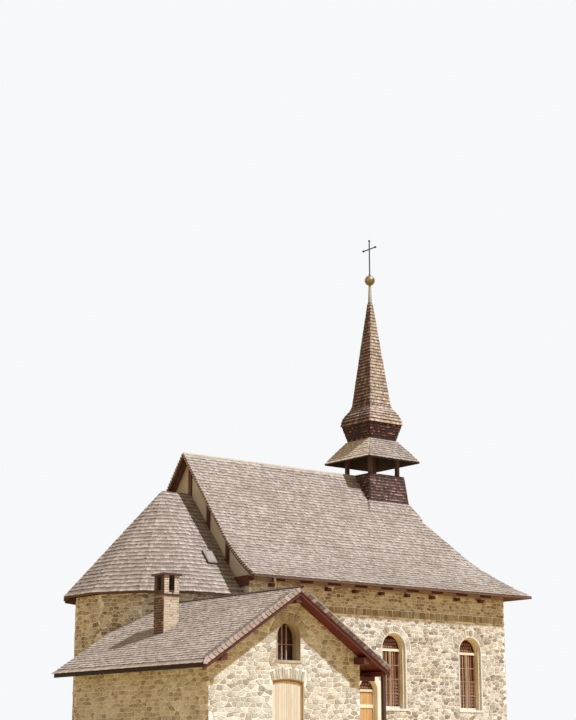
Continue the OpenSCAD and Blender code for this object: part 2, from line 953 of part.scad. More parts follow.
// Straps of the right leaf, and the plate and lever on its front
module door_ironwork_right() {
    x = annex_door_x + handle_x;
    color(iron) {
        leaf_straps(1);
        block([x - 22, leaf_y - 5, handle_z - 150], [x + 22, leaf_y, handle_z + 70]);
        translate([x, leaf_y - 5, handle_z]) rotate([90, 0, 0])
            cylinder(r = handle_r, h = 46, $fn = 24);
        translate([x - handle_r, leaf_y - 51, handle_z]) rotate([0, 90, 0])
            cylinder(r = handle_r, h = 130, $fn = 24);
    }
}

// A window frame with a transom at the spring line, drawn out to depth t
module framed_arch(w, sill, spring, bar, mullion) {
    difference() {
        arch(w, sill, spring);
        difference() {
            translate([0, 0]) arch(w - 2 * bar, sill + bar, spring);
            translate([-w / 2, spring - bar]) square([w, bar]);
            if (mullion) translate([-bar / 2, sill]) square([bar, spring - sill]);
        }
    }
}

annex_window_recess = 370;

module annex_window() {
    y = annex_front_y + annex_window_recess;
    color(dark_glass) translate([annex_door_x, 0, 0]) {
        along_y(y, y + 60) framed_arch(
            annex_window_w, annex_window_sill_z, annex_window_spring_z, 45, false);
        along_y(y + 60, y + 72)
            arch(annex_window_w, annex_window_sill_z, annex_window_spring_z);
    }
}

window_recess = 200;
window_frame_t = 70;
window_bar = 90;
glass_t = 12;

// Windows of the nave, shared by the frames and the glass
module nave_windows(depth0, depth1) {
    for (i = [-1:1]) translate([window_mid_x + i * window_pitch, 0, 0]) {
        along_y(-nave_half_w + depth0, -nave_half_w + depth1) children(0);
        along_y(nave_half_w - depth1, nave_half_w - depth0) children(0);
    }
    for (s = [-1, 1]) along_x(nave_x1 - depth1, nave_x1 - depth0)
        translate([s * end_window_y, 0]) children(1);
}

// Windows of chancel and apse, between two depths from the wall's face
module chancel_windows(depth0, depth1) {
    translate([chancel_window_x, 0, 0])
        along_y(chancel_half_w - depth1, chancel_half_w - depth0) children();
    apse_side_place(apse_window_side)
        along_x(chancel_half_w - depth1, chancel_half_w - depth0) children();
}

module window_frames() {
    z1 = window_recess + window_frame_t;
    color(cream) {
        nave_windows(window_recess, z1) {
            framed_arch(window_w, window_sill_z, window_spring_z, window_bar, true);
            framed_arch(end_window_w, window_sill_z, window_spring_z, window_bar, true);
        }
        chancel_windows(window_recess, z1)
            framed_arch(chancel_window_w, chancel_sill_z, chancel_spring_z, window_bar, false);
    }
}

module window_glass() {
    z0 = window_recess + window_frame_t;
    color(dark_glass) {
        nave_windows(z0, z0 + glass_t) {
            arch(window_w, window_sill_z, window_spring_z);
            arch(end_window_w, window_sill_z, window_spring_z);
        }
        chancel_windows(z0, z0 + glass_t)
            arch(chancel_window_w, chancel_sill_z, chancel_spring_z);
    }
}

band_t = 30;
band_foot_z = 60;

module band(w, spring) {
    difference() {
        arch(w + 2 * band_w, band_foot_z, spring);
        arch(w, 0, spring);
    }
}

// Plaster bands round the two nave doorways

module doorway_bands() {
    color(cream) {
        translate([side_door_x, 0, 0])
            along_y(-nave_half_w - band_t, -nave_half_w) band(side_door_w, side_door_spring_z);
        along_x(nave_x1, nave_x1 + band_t) band(entrance_w, entrance_spring_z);
    }
}

door_recess = 180;
door_t = 60;

// The two fixed doors of the nave, with their fanlights
module nave_doors() {
    color(larch) {
        translate([side_door_x, 0, 0])
            along_y(-nave_half_w + door_recess, -nave_half_w + door_recess + door_t)
            arch(side_door_w, floor_z, side_door_spring_z);
        along_x(nave_x1 - door_recess - door_t, nave_x1 - door_recess)
            arch(entrance_w, floor_z, entrance_spring_z);
    }
}

// Turret

box_foot_z = 9870;
belfry_floor_z = 10400;
box_wall = 110;

function box_half(z) = box_top_w
    + (box_foot_w - box_top_w) * (box_top_z - z) / (box_top_z - box_foot_z);

module turret_box_body() {
    z0 = 9000;
    square_stack([[box_half(z0), z0], [box_top_w, box_top_z]], turret_x);
}

module turret_box() {
    color(dark_shingle) difference() {
        turret_box_body();
        square_stack([
            [box_half(belfry_floor_z) - box_wall, belfry_floor_z],
            [box_top_w - box_wall, box_top_z + 10]], turret_x);
        under_nave_roof();
    }
}

apron_w = 1380;
apron_top_z = 9930;
apron_fall = 1.7;

// Flared shingles that throw rain off the foot of the box, on the three outer sides
module turret_apron() {
    z0 = 9000;
    foot = box_half(apron_top_z) + 10;
    low_z = apron_top_z - apron_fall * (apron_w - foot);
    color(shingle) difference() {
        square_stack([[apron_w, z0], [apron_w, low_z], [foot, apron_top_z]], turret_x);
        turret_box_body();
        under_nave_roof();
        block([-far, -far, 0], [turret_x - box_foot_w, far, far]);
    }
}

belfry_post = 135;
belfry_inset = 120;

// Corner posts that stand on the belfry floor, joined by plates under the roof
module belfry_frame() {
    w = box_top_w - belfry_inset;
    z1 = skirt_under_z(w);
    color(timber) translate([turret_x, 0, 0]) {
        for (a = [-1, 1], b = [-1, 1]) {
            x = [a * (w - belfry_post), a * w];
            y = [b * (w - belfry_post), b * w];
            block([min(x), min(y), belfry_floor_z], [max(x), max(y), z1]);
        }
        difference() {
            block([-w, -w, z1 - belfry_post], [w, w, z1]);
            block([-w + belfry_post, -w + belfry_post, z1 - 2 * belfry_post],
                [w - belfry_post, w - belfry_post, z1 + belfry_post]);
        }
    }
}

skirt_t = 60;

function skirt_top_z(w) = skirt_z + (drum_z - skirt_z) * (skirt_w - w) / (skirt_w - drum_w);
function skirt_under_z(w) = skirt_top_z(w) - skirt_t;

module skirt_roof() {
    color(shingle) difference() {
        square_stack([
            [skirt_w, skirt_z - skirt_t], [skirt_w, skirt_z], [drum_w, drum_z]], turret_x);
        square_stack([
            [skirt_w, skirt_z - skirt_t - 10], [skirt_w, skirt_z - skirt_t],
            [drum_w + 20, skirt_under_z(drum_w + 20)]], turret_x);
    }
}

module drum() {
    color(dark_shingle) square_stack([[drum_w, drum_z], [spire_w - 25, spire_z]], turret_x);
}

module spire() {
    color(shingle) square_stack([
        [spire_w, spire_z], [spire_w - 10, spire_z + 100], [840, 13330], [755, 13530],
        [640, 13670], [555, 13780], [60, spire_tip_z]], turret_x);
}

neck_top_z = 18990;
neck_foot_r = 85;
neck_top_r = 50;
ball_z = neck_top_z + ball_d / 2;
collar_top_z = neck_top_z + ball_d + 40;

// Turned neck on the spire's tip
module spire_neck() {
    color(cream) translate([turret_x, 0, spire_tip_z])
        cylinder(r1 = neck_foot_r, r2 = neck_top_r, h = neck_top_z - spire_tip_z, $fn = 32);
}

// Gilded ball, with a flat seat on the neck and a collar under the cross
module gilded_ball() {
    r = ball_d / 2;
    a0 = asin(neck_top_r / r);
    arc = [for (a = [a0:(180 - 2 * a0) / 24:180 - a0]) [r * sin(a), ball_z - r * cos(a)]];
    color(gilt) translate([turret_x, 0, 0]) rotate_extrude($fn = 48) polygon(concat(
        [[0, arc[0][1]]], arc,
        [[neck_top_r, collar_top_z], [0, collar_top_z]]));
}

cross_bar = 50;
cross_arm_z = 20550;
cross_reach = 380;
knob_d = 90;

module cross() {
    color(iron) translate([turret_x, 0, 0]) {
        translate([0, 0, collar_top_z])
            cylinder(d = cross_bar, h = cross_top_z - knob_d / 2 - collar_top_z, $fn = 24);
        translate([0, -cross_reach, cross_arm_z]) rotate([-90, 0, 0])
            cylinder(d = cross_bar, h = 2 * cross_reach, $fn = 24);
        translate([0, 0, cross_top_z - knob_d / 2]) sphere(d = knob_d, $fn = 24);
        for (s = [-1, 1]) translate([0, s * cross_reach, cross_arm_z])
            sphere(d = knob_d, $fn = 24);
    }
}

stone_floor();
nave_front_wall();
nave_back_wall();
entrance_wall();
chancel_piers();
gable_panels();
gable_frame();
nave_eave_timbers();
nave_roof_front();
nave_roof_back();
nave_roof_hip();
nave_ridge_boards();
nave_verge_boards();
downpipe();
chancel_front_wall();
chancel_back_wall();
apse_walls();
chancel_wall_plates();
chancel_roof_front();
chancel_roof_back();
apse_roof();
roof_hatch();
annex_floor();
annex_front_wall_left();
annex_front_wall_right();
annex_gable();
annex_left_wall();
annex_right_wall();
annex_rear_wall();
annex_wall_plates();
annex_roof_left();
annex_roof_right();
annex_barge_boards();
annex_purlins();
porch_post();
chimney_stack();
chimney_head();
chimney_slabs();
annex_door_frame();
annex_door_left();
annex_door_right();
door_pins();
door_ironwork_left();
door_ironwork_right();
annex_window();
window_frames();
window_glass();
doorway_bands();
nave_doors();
turret_box();
turret_apron();
belfry_frame();
skirt_roof();
drum();
spire();
spire_neck();
gilded_ball();
cross();
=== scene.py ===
# %% [markdown]
# A small mountain chapel: rubble stone walls, steep roofs of split larch shingles, a square ridge
# turret with a bell-cast spire, a polygonal apse and a low gabled annex with a double door.
# The construction comes packed as a fixed frame. This script adds what a builder adds last:
# stones, shingles, bricks, planks, bars and boards, and the finish of every surface.

# %% Load the frame
import math
import random

import bpy
import numpy as np
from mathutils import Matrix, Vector


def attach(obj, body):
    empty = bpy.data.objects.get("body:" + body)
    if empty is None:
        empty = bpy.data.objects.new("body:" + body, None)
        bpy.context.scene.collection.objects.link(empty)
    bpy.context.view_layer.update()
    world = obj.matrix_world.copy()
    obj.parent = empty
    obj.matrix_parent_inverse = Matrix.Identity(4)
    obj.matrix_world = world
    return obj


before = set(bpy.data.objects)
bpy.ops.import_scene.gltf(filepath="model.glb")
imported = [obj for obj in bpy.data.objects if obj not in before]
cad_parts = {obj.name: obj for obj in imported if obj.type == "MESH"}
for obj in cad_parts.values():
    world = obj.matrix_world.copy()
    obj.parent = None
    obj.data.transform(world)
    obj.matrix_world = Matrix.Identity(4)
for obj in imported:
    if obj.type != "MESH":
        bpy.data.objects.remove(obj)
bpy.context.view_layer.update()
bpy.ops.object.select_all(action="DESELECT")

# %% [markdown]
# The camera stands low in the meadow and looks up at the chapel from its front left corner. The
# place, turn and tilt come from the building's own straight edges: a long lens, 54 m away.

# %% Camera
EYE = (-38.776, -47.874, 0.30)
TURN = 37.818
TILT = 13.8175
camera_data = bpy.data.cameras.new("view")
camera = bpy.data.objects.new("view", camera_data)
bpy.context.scene.collection.objects.link(camera)
camera.location = EYE
camera.rotation_euler = (math.radians(90 + TILT), 0, math.radians(-TURN))
camera_data.sensor_fit = "VERTICAL"
camera_data.sensor_height = 36
camera_data.lens = 80.22
camera_data.clip_end = 500
bpy.context.scene.camera = camera
print("camera", tuple(camera.location), "lens", camera_data.lens)

# %% [markdown]
# Strong sunlight from the front right, high up, throws the eaves' shadows on the walls. The sandy
# floor throws a warm light back up into them, and a pale sky fills the rest. Only the camera's
# own rays see the white of the background, so that it adds no light to the walls.


# %% One function for nodes, one for colours
def add_node(tree, kind, inputs=None, **settings):
    node = tree.nodes.new(kind)
    for name, value in settings.items():
        setattr(node, name, value)
    for name, value in (inputs or {}).items():
        if isinstance(value, bpy.types.NodeSocket):
            tree.links.new(value, node.inputs[name])
        else:
            node.inputs[name].default_value = value
    return node


def colour(hex_code):
    parts = [int(hex_code[i:i + 2], 16) / 255 for i in (1, 3, 5)]
    return [p / 12.92 if p <= 0.04045 else ((p + 0.055) / 1.055) ** 2.4 for p in parts] + [1]


# %% Light, sky and floor
SUN_DIRECTION = Vector((0.35, -1.0, 1.4))
SUN_STRENGTH = 4.9
SUN_COLOUR = (0.93, 0.985, 1.07)
SKY_STRENGTH = 0.42
SKY_LIGHT, SKY_SEEN = (0.90, 0.82, 0.72, 1), (0.93, 0.94, 0.95, 1)
FLOOR_BOUNCE, FLOOR_SEEN = (0.77, 0.50, 0.205, 1), (0.70, 0.68, 0.64, 1)
sun_data = bpy.data.lights.new("sun", "SUN")
sun_data.energy = SUN_STRENGTH
sun_data.angle = math.radians(2)
sun_data.color = SUN_COLOUR
sun = bpy.data.objects.new("sun", sun_data)
sun.rotation_euler = SUN_DIRECTION.to_track_quat("Z", "Y").to_euler()
bpy.context.scene.collection.objects.link(sun)

world = bpy.data.worlds.new("pale_sky")
bpy.context.scene.world = world
world.use_nodes = True
sky = world.node_tree
sky.nodes.clear()
rays = add_node(sky, "ShaderNodeLightPath").outputs
seen = rays["Is Camera Ray"]
for ray in ("Is Glossy Ray", "Is Transmission Ray"):
    seen = add_node(sky, "ShaderNodeMath", {0: seen, 1: rays[ray]}, operation="MAXIMUM").outputs[0]
light_sky = add_node(sky, "ShaderNodeBackground", {"Color": SKY_LIGHT, "Strength": SKY_STRENGTH})
white_sky = add_node(sky, "ShaderNodeBackground", {"Color": SKY_SEEN, "Strength": 1.0})
both = add_node(sky, "ShaderNodeMixShader",
                {0: seen, 1: light_sky.outputs[0], 2: white_sky.outputs[0]})
add_node(sky, "ShaderNodeOutputWorld", {"Surface": both.outputs[0]})
bpy.context.scene.view_settings.view_transform = "Standard"

bpy.ops.mesh.primitive_plane_add(size=400, location=(0, 0, -0.004))
floor = bpy.context.object
floor.name = "floor"
floor_finish = bpy.data.materials.new("pale_floor_with_sandy_bounce")
floor_finish.use_nodes = True
ground = floor_finish.node_tree
ground.nodes.clear()
seen = add_node(ground, "ShaderNodeLightPath").outputs["Is Camera Ray"]
sandy = add_node(ground, "ShaderNodeBsdfDiffuse", {"Color": FLOOR_BOUNCE})
pale = add_node(ground, "ShaderNodeBsdfDiffuse", {"Color": FLOOR_SEEN})
shown = add_node(ground, "ShaderNodeMixShader", {0: seen, 1: sandy.outputs[0], 2: pale.outputs[0]})
add_node(ground, "ShaderNodeOutputMaterial", {"Surface": shown.outputs[0]})
floor.data.materials.append(floor_finish)
bpy.ops.object.select_all(action="DESELECT")
print("sun from", tuple(SUN_DIRECTION))

# %% [markdown]
# Materials. Each begins as a plain shader with a noise that mottles its colour and roughens its
# surface. Patterns are scaled from real sizes: a noise of scale 1 / size repeats about once in
# that size, and all coordinates are metres. Shingles and stones carry one random number each,
# called tint, so that neighbours differ as they do in a real roof or wall.


# %% Helpers for materials
def new_finish(name):
    finish = bpy.data.materials.new(name)
    finish.use_nodes = True
    finish.node_tree.nodes.clear()
    return finish, finish.node_tree


def ramp(tree, factor, stops):
    """A colour ramp. stops gives the place and the colour of each of its points in turn."""
    node = add_node(tree, "ShaderNodeValToRGB", {0: factor})
    points, words = node.color_ramp.elements, stops.split()
    while len(points) < len(words) // 2:
        points.new(1.0)
    for point, place, hex_code in zip(points, words[::2], words[1::2]):
        point.position = float(place)
        point.color = colour(hex_code)
    return node.outputs[0]


def noise(tree, coordinates, size, detail=3.0, stretch=(1, 1, 1), roughness=0.55):
    scale = [s / size for s in stretch]
    mapping = add_node(tree, "ShaderNodeMapping", {"Vector": coordinates, "Scale": scale})
    inputs = {"Vector": mapping.outputs[0], "Scale": 1.0, "Detail": detail,
              "Roughness": roughness}
    return add_node(tree, "ShaderNodeTexNoise", inputs).outputs[0]


def wood_grain(tree, places, along):
    """Grain 2 cm wide that is drawn out along one axis."""
    return noise(tree, places, 0.02, 4.0, [0.06 if axis == along else 1.0 for axis in "XYZ"])


def multiply(tree, share, base, by):
    return add_node(tree, "ShaderNodeMix", {0: share, 6: base, 7: by}, data_type="RGBA",
                    blend_type="MULTIPLY").outputs[2]


def finish_shader(tree, base, rough, height, relief, strength, **fixed):
    inputs = {"Base Color": base, "Roughness": rough}
    inputs.update({name.replace("_", " "): value for name, value in fixed.items()})
    bump = add_node(tree, "ShaderNodeBump",
                    {"Height": height, "Distance": relief, "Strength": strength})
    inputs["Normal"] = bump.outputs[0]
    shader = add_node(tree, "ShaderNodeBsdfPrincipled", inputs)
    add_node(tree, "ShaderNodeOutputMaterial", {"Surface": shader.outputs[0]})


def object_places(tree):
    return add_node(tree, "ShaderNodeTexCoord").outputs["Object"]


def own_tint(tree):
    return add_node(tree, "ShaderNodeAttribute", attribute_name="tint").outputs["Fac"]


# %% Split larch shingles, weathered
SHOWN = 0.16


def shingle_finish(name, stops, sheltered, washed="#FFFDFA", weather="#DDD3CB", butt=0.022,
                   face="#FFFFFF"):
    """Larch split along the grain and left bare. The butt of each board is paler, partly washed by
    rain and partly a painted highlight of its sunlit edge, and the part just under the next row is
    darker, partly weathering and partly painted shade of the row above. Dark fibres run along its
    length."""
    finish, tree = new_finish(name)
    tint = own_tint(tree)
    along = add_node(tree, "ShaderNodeUVMap", uv_map="board").outputs[0]
    base = ramp(tree, tint, stops)
    up = add_node(tree, "ShaderNodeSeparateXYZ", {0: along}).outputs["Y"]
    grade = add_node(tree, "ShaderNodeMapRange",
                     {"Value": up, "From Min": 0.0, "From Max": SHOWN}).outputs[0]
    edge = butt / SHOWN
    # Pale butt: rain wash and painted highlight. Dark band under the next row: weathering and
    # painted shade.
    wash = ramp(tree, grade, f"0 {washed} {edge} {washed} {edge + 0.10} {face} 0.85 {sheltered}")
    base = multiply(tree, 1.0, base, wash)
    grain = noise(tree, along, 0.012, 4.0, (1, 0.08, 1))
    base = multiply(tree, 0.6, base, ramp(tree, grain, "0.30 #A89C94 0.62 #FFFFFF"))
    patches = noise(tree, object_places(tree), 1.3, 3.0)
    base = multiply(tree, 0.5, base, ramp(tree, patches, f"0.35 {weather} 0.65 #FFFFFF"))
    finish_shader(tree, base, 0.82, grain, 0.003, 0.5)
    return finish


silver_shingles = shingle_finish(
    "split_larch_shingles_weathered", "0 #A79B91 0.3 #B2A79D 0.6 #BBB1A8 0.85 #C4BBB3 1 #CDC5BE",
    "#C4B7B0")
annex_shingles = shingle_finish(
    "split_larch_shingles_of_the_annex", "0 #B0A498 0.3 #BFB3A8 0.6 #CABFB3 0.85 #D3C9BE "
    "1 #DCD3C9", "#CCBFB5")
skirt_shingles = shingle_finish(
    "split_larch_shingles_of_the_skirt_roof", "0 #988D83 0.5 #AA9F95 1 #BFB5AC",
    "#C0B3AB")
# The skirt's left side gets lighter tones: painted light.
painted_light_skirt_shingles = shingle_finish(
    "split_larch_shingles_lightened_as_painted_light", "0 #CDC0AC 0.5 #DED3C2 1 #EAE0D2",
    "#DCD0C0", weather="#F0E8DC")
spire_shingles = shingle_finish(
    "split_larch_shingles_of_the_spire", "0 #9C8C7B 0.4 #B5A695 0.75 #C7B9A8 1 #D8CCBE",
    "#5A3128", "#FFFAF2", "#DBCBC0", 0.05)
# The spire's two sides away from the sun: the same shingles in darker tones with a darker band
# under each row, painted shade.
painted_shade_spire_shingles = shingle_finish(
    "split_larch_shingles_browned_as_painted_shade", "0 #74605A 0.4 #96837A 0.75 #B5A398 1 #D2C4B8",
    "#451E18", "#FFFAF2", "#C8B4A8", 0.03, "#B89A90")
brown_shingles = shingle_finish(
    "split_larch_shingles_stained", "0 #6A4A42 0.35 #82625A 0.7 #A2857C 0.9 #C2A9A1 1 #E4D2CB",
    "#5A423D", "#FFF6F2", "#D9C4BA", 0.016, "#7C635E")
# Dark stained boards; the brightest orange tints stand in for sunlit butts, painted glints.
drum_boards_with_painted_glints = shingle_finish(
    "stained_boards_under_the_spire_with_painted_glints", "0 #3C160E 0.5 #58291A 0.78 #A0623C 1 #FFCDA6",
    "#3E140D", "#FFEAD8", "#A58A80", 0.012, "#6A3A2C")
verge_larch = shingle_finish(
    "split_larch_verge_ends", "0 #B0A197 0.5 #BFB1A7 1 #CCC0B7", "#BBA99E", "#FFF8F0", "#D2C4BA")
ridge_larch = shingle_finish(
    "split_larch_verge_ends_dark", "0 #65534A 0.4 #75645A 0.75 #8A7A70 1 #A29488",
    "#86685A", "#FFF6EC", "#B7A79C")
print("shingle finishes made")


# %% Rubble stone, mortar, plaster and brick
def stone_finish(name, stops, relief, mottling=0.75):
    """Field stones with a hammered face: dull, mottled by lichen and by their minerals."""
    finish, tree = new_finish(name)
    tint = own_tint(tree)
    places = object_places(tree)
    base = ramp(tree, tint, stops)
    mottle = noise(tree, places, 0.06, 5.0, roughness=0.7)
    lichen = ramp(tree, mottle, "0.34 #A29A8C 0.5 #E9E3D8 0.66 #FFFFFF")
    base = multiply(tree, mottling, base, lichen)
    ochre = ramp(tree, noise(tree, places, 1.6, 2.0), "0.42 #FFFFFF 0.62 #F7EDD9")
    base = multiply(tree, 0.6, base, ochre)
    finish_shader(tree, base, 0.9, mottle, relief, 0.8)
    return finish


def lime_finish(name, pale, dark, grain_size, relief):
    """Lime with sand, trowelled or floated: matt, a little uneven in colour."""
    finish, tree = new_finish(name)
    places = object_places(tree)
    base = ramp(tree, noise(tree, places, 0.9, 4.0), f"0.3 {dark} 0.7 {pale}")
    sand = noise(tree, places, grain_size, 3.0)
    finish_shader(tree, base, 0.92, sand, relief, 0.5)
    return finish


rubble = stone_finish(
    "rubble_field_stone", "0 #85817A 0.14 #A29682 0.32 #B2AEA5 0.56 #C3C0B9 0.80 #D3D1CC "
    "1 #E0DDD5", 0.010)
annex_rubble = stone_finish(
    "pale_annex_field_stone", "0 #A19F97 0.14 #B1AA9A 0.32 #BEBEB7 0.56 #CACCC7 0.80 #D5D8D4 "
    "1 #E0E3DF", 0.010, 0.6)
mortar = lime_finish("lime_mortar", "#EDEBE5", "#DDDBD4", 0.012, 0.004)
cream_plaster = lime_finish("cream_lime_plaster", "#D2CBBC", "#BDB5A4", 0.010, 0.002)
white_reveal = lime_finish("white_lime_window_reveal", "#D6D6CF", "#C6C6BD", 0.010, 0.002)
# The annex's reveal lime is darkened: painted shade.
stone_reveal_painted_shade = lime_finish("lime_washed_stone_reveal_darkened_as_painted_shade", "#B9AC96", "#9C8E77", 0.020, 0.004)
band_plaster = lime_finish("pale_band_plaster", "#E4DCC8", "#D4CAB4", 0.010, 0.002)
sooty_lime = lime_finish("sooty_chimney_mortar", "#AE9A83", "#8C7864", 0.012, 0.003)
soot = lime_finish("sooted_flue_lining", "#54413A", "#38291F", 0.05, 0.003)
# The darkest tints go on the chimney's side away from the sun: painted shade.
pale_brick = stone_finish(
    "pale_cream_brick_with_painted_shade", "0 #4A3832 0.12 #5F4A40 0.28 #B4A28E 0.5 #C6B8A5 0.85 #D2C6B5 "
    "1 #C8AC90", 0.004, 0.3)
print("stone and lime finishes made")


# %% Timber
def timber_finish(name, pale, dark, along, rough=0.6):
    """Sawn spruce under a stain: the grain runs along the timber, darker in its late wood."""
    finish, tree = new_finish(name)
    places = object_places(tree)
    grain = wood_grain(tree, places, along)
    base = ramp(tree, grain, f"0.32 {dark} 0.68 {pale}")
    wear = ramp(tree, noise(tree, places, 0.6, 3.0), "0.35 #B8ABA5 0.6 #FFFFFF")
    base = multiply(tree, 0.35, base, wear)
    finish_shader(tree, base, rough, grain, 0.002, 0.4)
    return finish


red_timber = {axis: timber_finish("red_brown_stained_spruce_along_" + axis, "#63281A",
                                  "#44170F", axis) for axis in "XYZ"}
dark_timber = timber_finish("dark_stained_spruce_post", "#4A2C22", "#2E1914", "Z")
# Near black for the annex's left eave edge and the skirt's soffit: painted shade.
near_black_timber_painted_shade = timber_finish("near_black_spruce_as_painted_shade", "#25140F", "#140A08", "Z", 0.8)
# The annex's barge boards are darker than the red timber: painted shade.
barge_timber_painted_shade = timber_finish("red_brown_spruce_darkened_as_painted_shade", "#5A2012", "#3C1309", "X")
# The belfry posts are lighter than the other turret timber: painted light.
grey_posts_with_painted_light = timber_finish("greyed_belfry_posts_lightened_as_painted_light", "#64493E", "#453028", "Z", 0.75)
soffit_boards = timber_finish("red_brown_soffit_boards", "#70291A", "#4E190F", "Y")
eave_paint = timber_finish("greyed_eave_boards", "#B49A8C", "#8E7264", "X", 0.7)
stile_paint = timber_finish("pinkish_tan_painted_stiles", "#A98B72", "#86694F", "Z", 0.5)
cream_paint = timber_finish("cream_painted_wood", "#E9DFC6", "#DACEB2", "Z", 0.5)
umber_paint = timber_finish("dark_umber_painted_wood", "#4B2C25", "#341B16", "Z", 0.5)
tan_paint = timber_finish("tan_oiled_door_frame", "#B4935F", "#917043", "Z", 0.5)
ridge_boards = timber_finish("pale_larch_ridge_boards", "#C0B4A0", "#A39886", "X", 0.7)
under_boards = timber_finish("dark_roof_boards", "#6B5348", "#4B372F", "X", 0.85)


def plank_finish(name, pale, dark, across, width):
    """Oiled larch planks side by side, each with its own tone and a groove at its edge."""
    finish, tree = new_finish(name)
    places = object_places(tree)
    parts = add_node(tree, "ShaderNodeSeparateXYZ", {0: places}).outputs
    side = parts[across[0]]
    if len(across) > 1:
        side = add_node(tree, "ShaderNodeMath", {0: parts["X"], 1: parts["Y"]}).outputs[0]
    count = add_node(tree, "ShaderNodeMath", {0: side, 1: width}, operation="DIVIDE").outputs[0]
    plank = add_node(tree, "ShaderNodeMath", {0: count}, operation="FLOOR").outputs[0]
    tone = add_node(tree, "ShaderNodeTexWhiteNoise", {"W": plank},
                    noise_dimensions="1D").outputs["Value"]
    share = add_node(tree, "ShaderNodeMath", {0: count, 1: 0.5}, operation="PINGPONG").outputs[0]
    groove = ramp(tree, share, "0 #3A2C1C 0.045 #FFFFFF")
    base = ramp(tree, wood_grain(tree, places, "Z"), f"0.32 {dark} 0.68 {pale}")
    base = multiply(tree, 0.5, base, ramp(tree, tone, "0 #D8CCBA 1 #FFFFFF"))
    base = multiply(tree, 1.0, base, groove)
    finish_shader(tree, base, 0.55, groove, 0.003, 0.6)
    return finish


larch_planks = plank_finish("pale_larch_planks", "#DAD3C3", "#C4BAA2", "X", 0.118)
door_planks = plank_finish("larch_planks_of_the_entrance", "#CDA670", "#AF854F", "XY", 0.14)
print("timber finishes made")


# %% Metals and glass
def plain_finish(name, pale, dark, rough, size=0.08, **fixed):
    """Metal or glass: smooth, a little blotched, and duller where it is darker."""
    finish, tree = new_finish(name)
    blotch = noise(tree, object_places(tree), size, 4.0)
    base = ramp(tree, blotch, f"0.35 {dark} 0.65 {pale}")
    roughness = add_node(tree, "ShaderNodeMapRange",
                         {"Value": blotch, "To Min": rough + 0.1, "To Max": rough}).outputs[0]
    finish_shader(tree, base, roughness, blotch, 0.001, 0.2, **fixed)
    return finish


gilding = plain_finish("gilded_copper_sheet", "#A2926C", "#584D38", 0.42, Metallic=1.0)
pale_copper = plain_finish("tinned_neck_sheet", "#B4AD9A", "#8E8673", 0.45, Metallic=0.5)
iron = plain_finish("forged_iron_black", "#3B3330", "#241E1C", 0.5, Metallic=0.6)
pale_iron = plain_finish("painted_window_iron", "#B59A90", "#8E7268", 0.5)
white_pipe = plain_finish("white_painted_steel_pipe", "#EDEBE4", "#D8D5CB", 0.35)
grey_sheet = plain_finish("weathered_zinc_sheet", "#A1948A", "#82776E", 0.5, 0.15)
dark_glass = plain_finish("window_glass_over_a_dark_room", "#54281D", "#361811", 0.30, 0.3,
                          Specular_IOR_Level=0.05)
bullseye_glass = plain_finish("blown_bullseye_panes", "#94786C", "#6C5248", 0.4, 0.05,
                              Specular_IOR_Level=0.1)
print("metals and glass made")

# %% [markdown]
# The frame's own nodes keep their shape and get the finish of what they are. Roof plates lie
# under the shingles and show in the gaps, at the eaves and from below, so each has the tone of
# the boards that are seen there.

# %% Finishes of the frame's nodes
node_finishes = [
    (mortar, "nave_front_wall nave_back_wall entrance_wall chancel_piers chancel_front_wall "
             "chancel_back_wall apse_walls stone_floor annex_floor annex_front_wall_left "
             "annex_front_wall_right annex_gable annex_left_wall annex_right_wall "
             "annex_rear_wall"),
    (under_boards, "nave_roof_front nave_roof_back nave_roof_hip chancel_roof_front "
                   "chancel_roof_back apse_roof spire"),
    (sooty_lime, "chimney_stack"), (soot, "chimney_head"),
    (cream_plaster, "gable_panels"), (band_plaster, "doorway_bands"),
    (eave_paint, "turret_apron"), (soffit_boards, "annex_roof_right"),
    (near_black_timber_painted_shade, "annex_roof_left skirt_roof"), (dark_timber, "turret_box drum porch_post"),
    (grey_posts_with_painted_light, "belfry_frame"), (barge_timber_painted_shade, "annex_barge_boards"),
    (umber_paint, "chimney_slabs roof_hatch annex_window"),
    (red_timber["X"], "chancel_wall_plates nave_verge_boards"),
    (red_timber["Y"], "annex_wall_plates annex_purlins nave_eave_timbers"),
    (red_timber["Z"], "gable_frame"), (ridge_boards, "nave_ridge_boards"),
    (white_pipe, "downpipe"), (tan_paint, "annex_door_frame"),
    (larch_planks, "annex_door_left annex_door_right"), (door_planks, "nave_doors"),
    (cream_paint, "window_frames"), (dark_glass, "window_glass"),
    (pale_copper, "spire_neck"), (gilding, "gilded_ball"),
    (iron, "cross door_pins door_ironwork_left door_ironwork_right"),
]
unfinished = set(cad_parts)
for finish, names in node_finishes:
    for name in names.split():
        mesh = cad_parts[name].data
        mesh.materials.clear()
        mesh.materials.append(finish)
        unfinished.remove(name)
print("nodes with no finish:", sorted(unfinished))

# %% [markdown]
# The construction's main measures, given again in metres. The nave roof falls steeply, then
# flares towards its eaves. The chancel roof is flatter and ends in the fan of an apse, five
# sides that turn 30 degrees each.

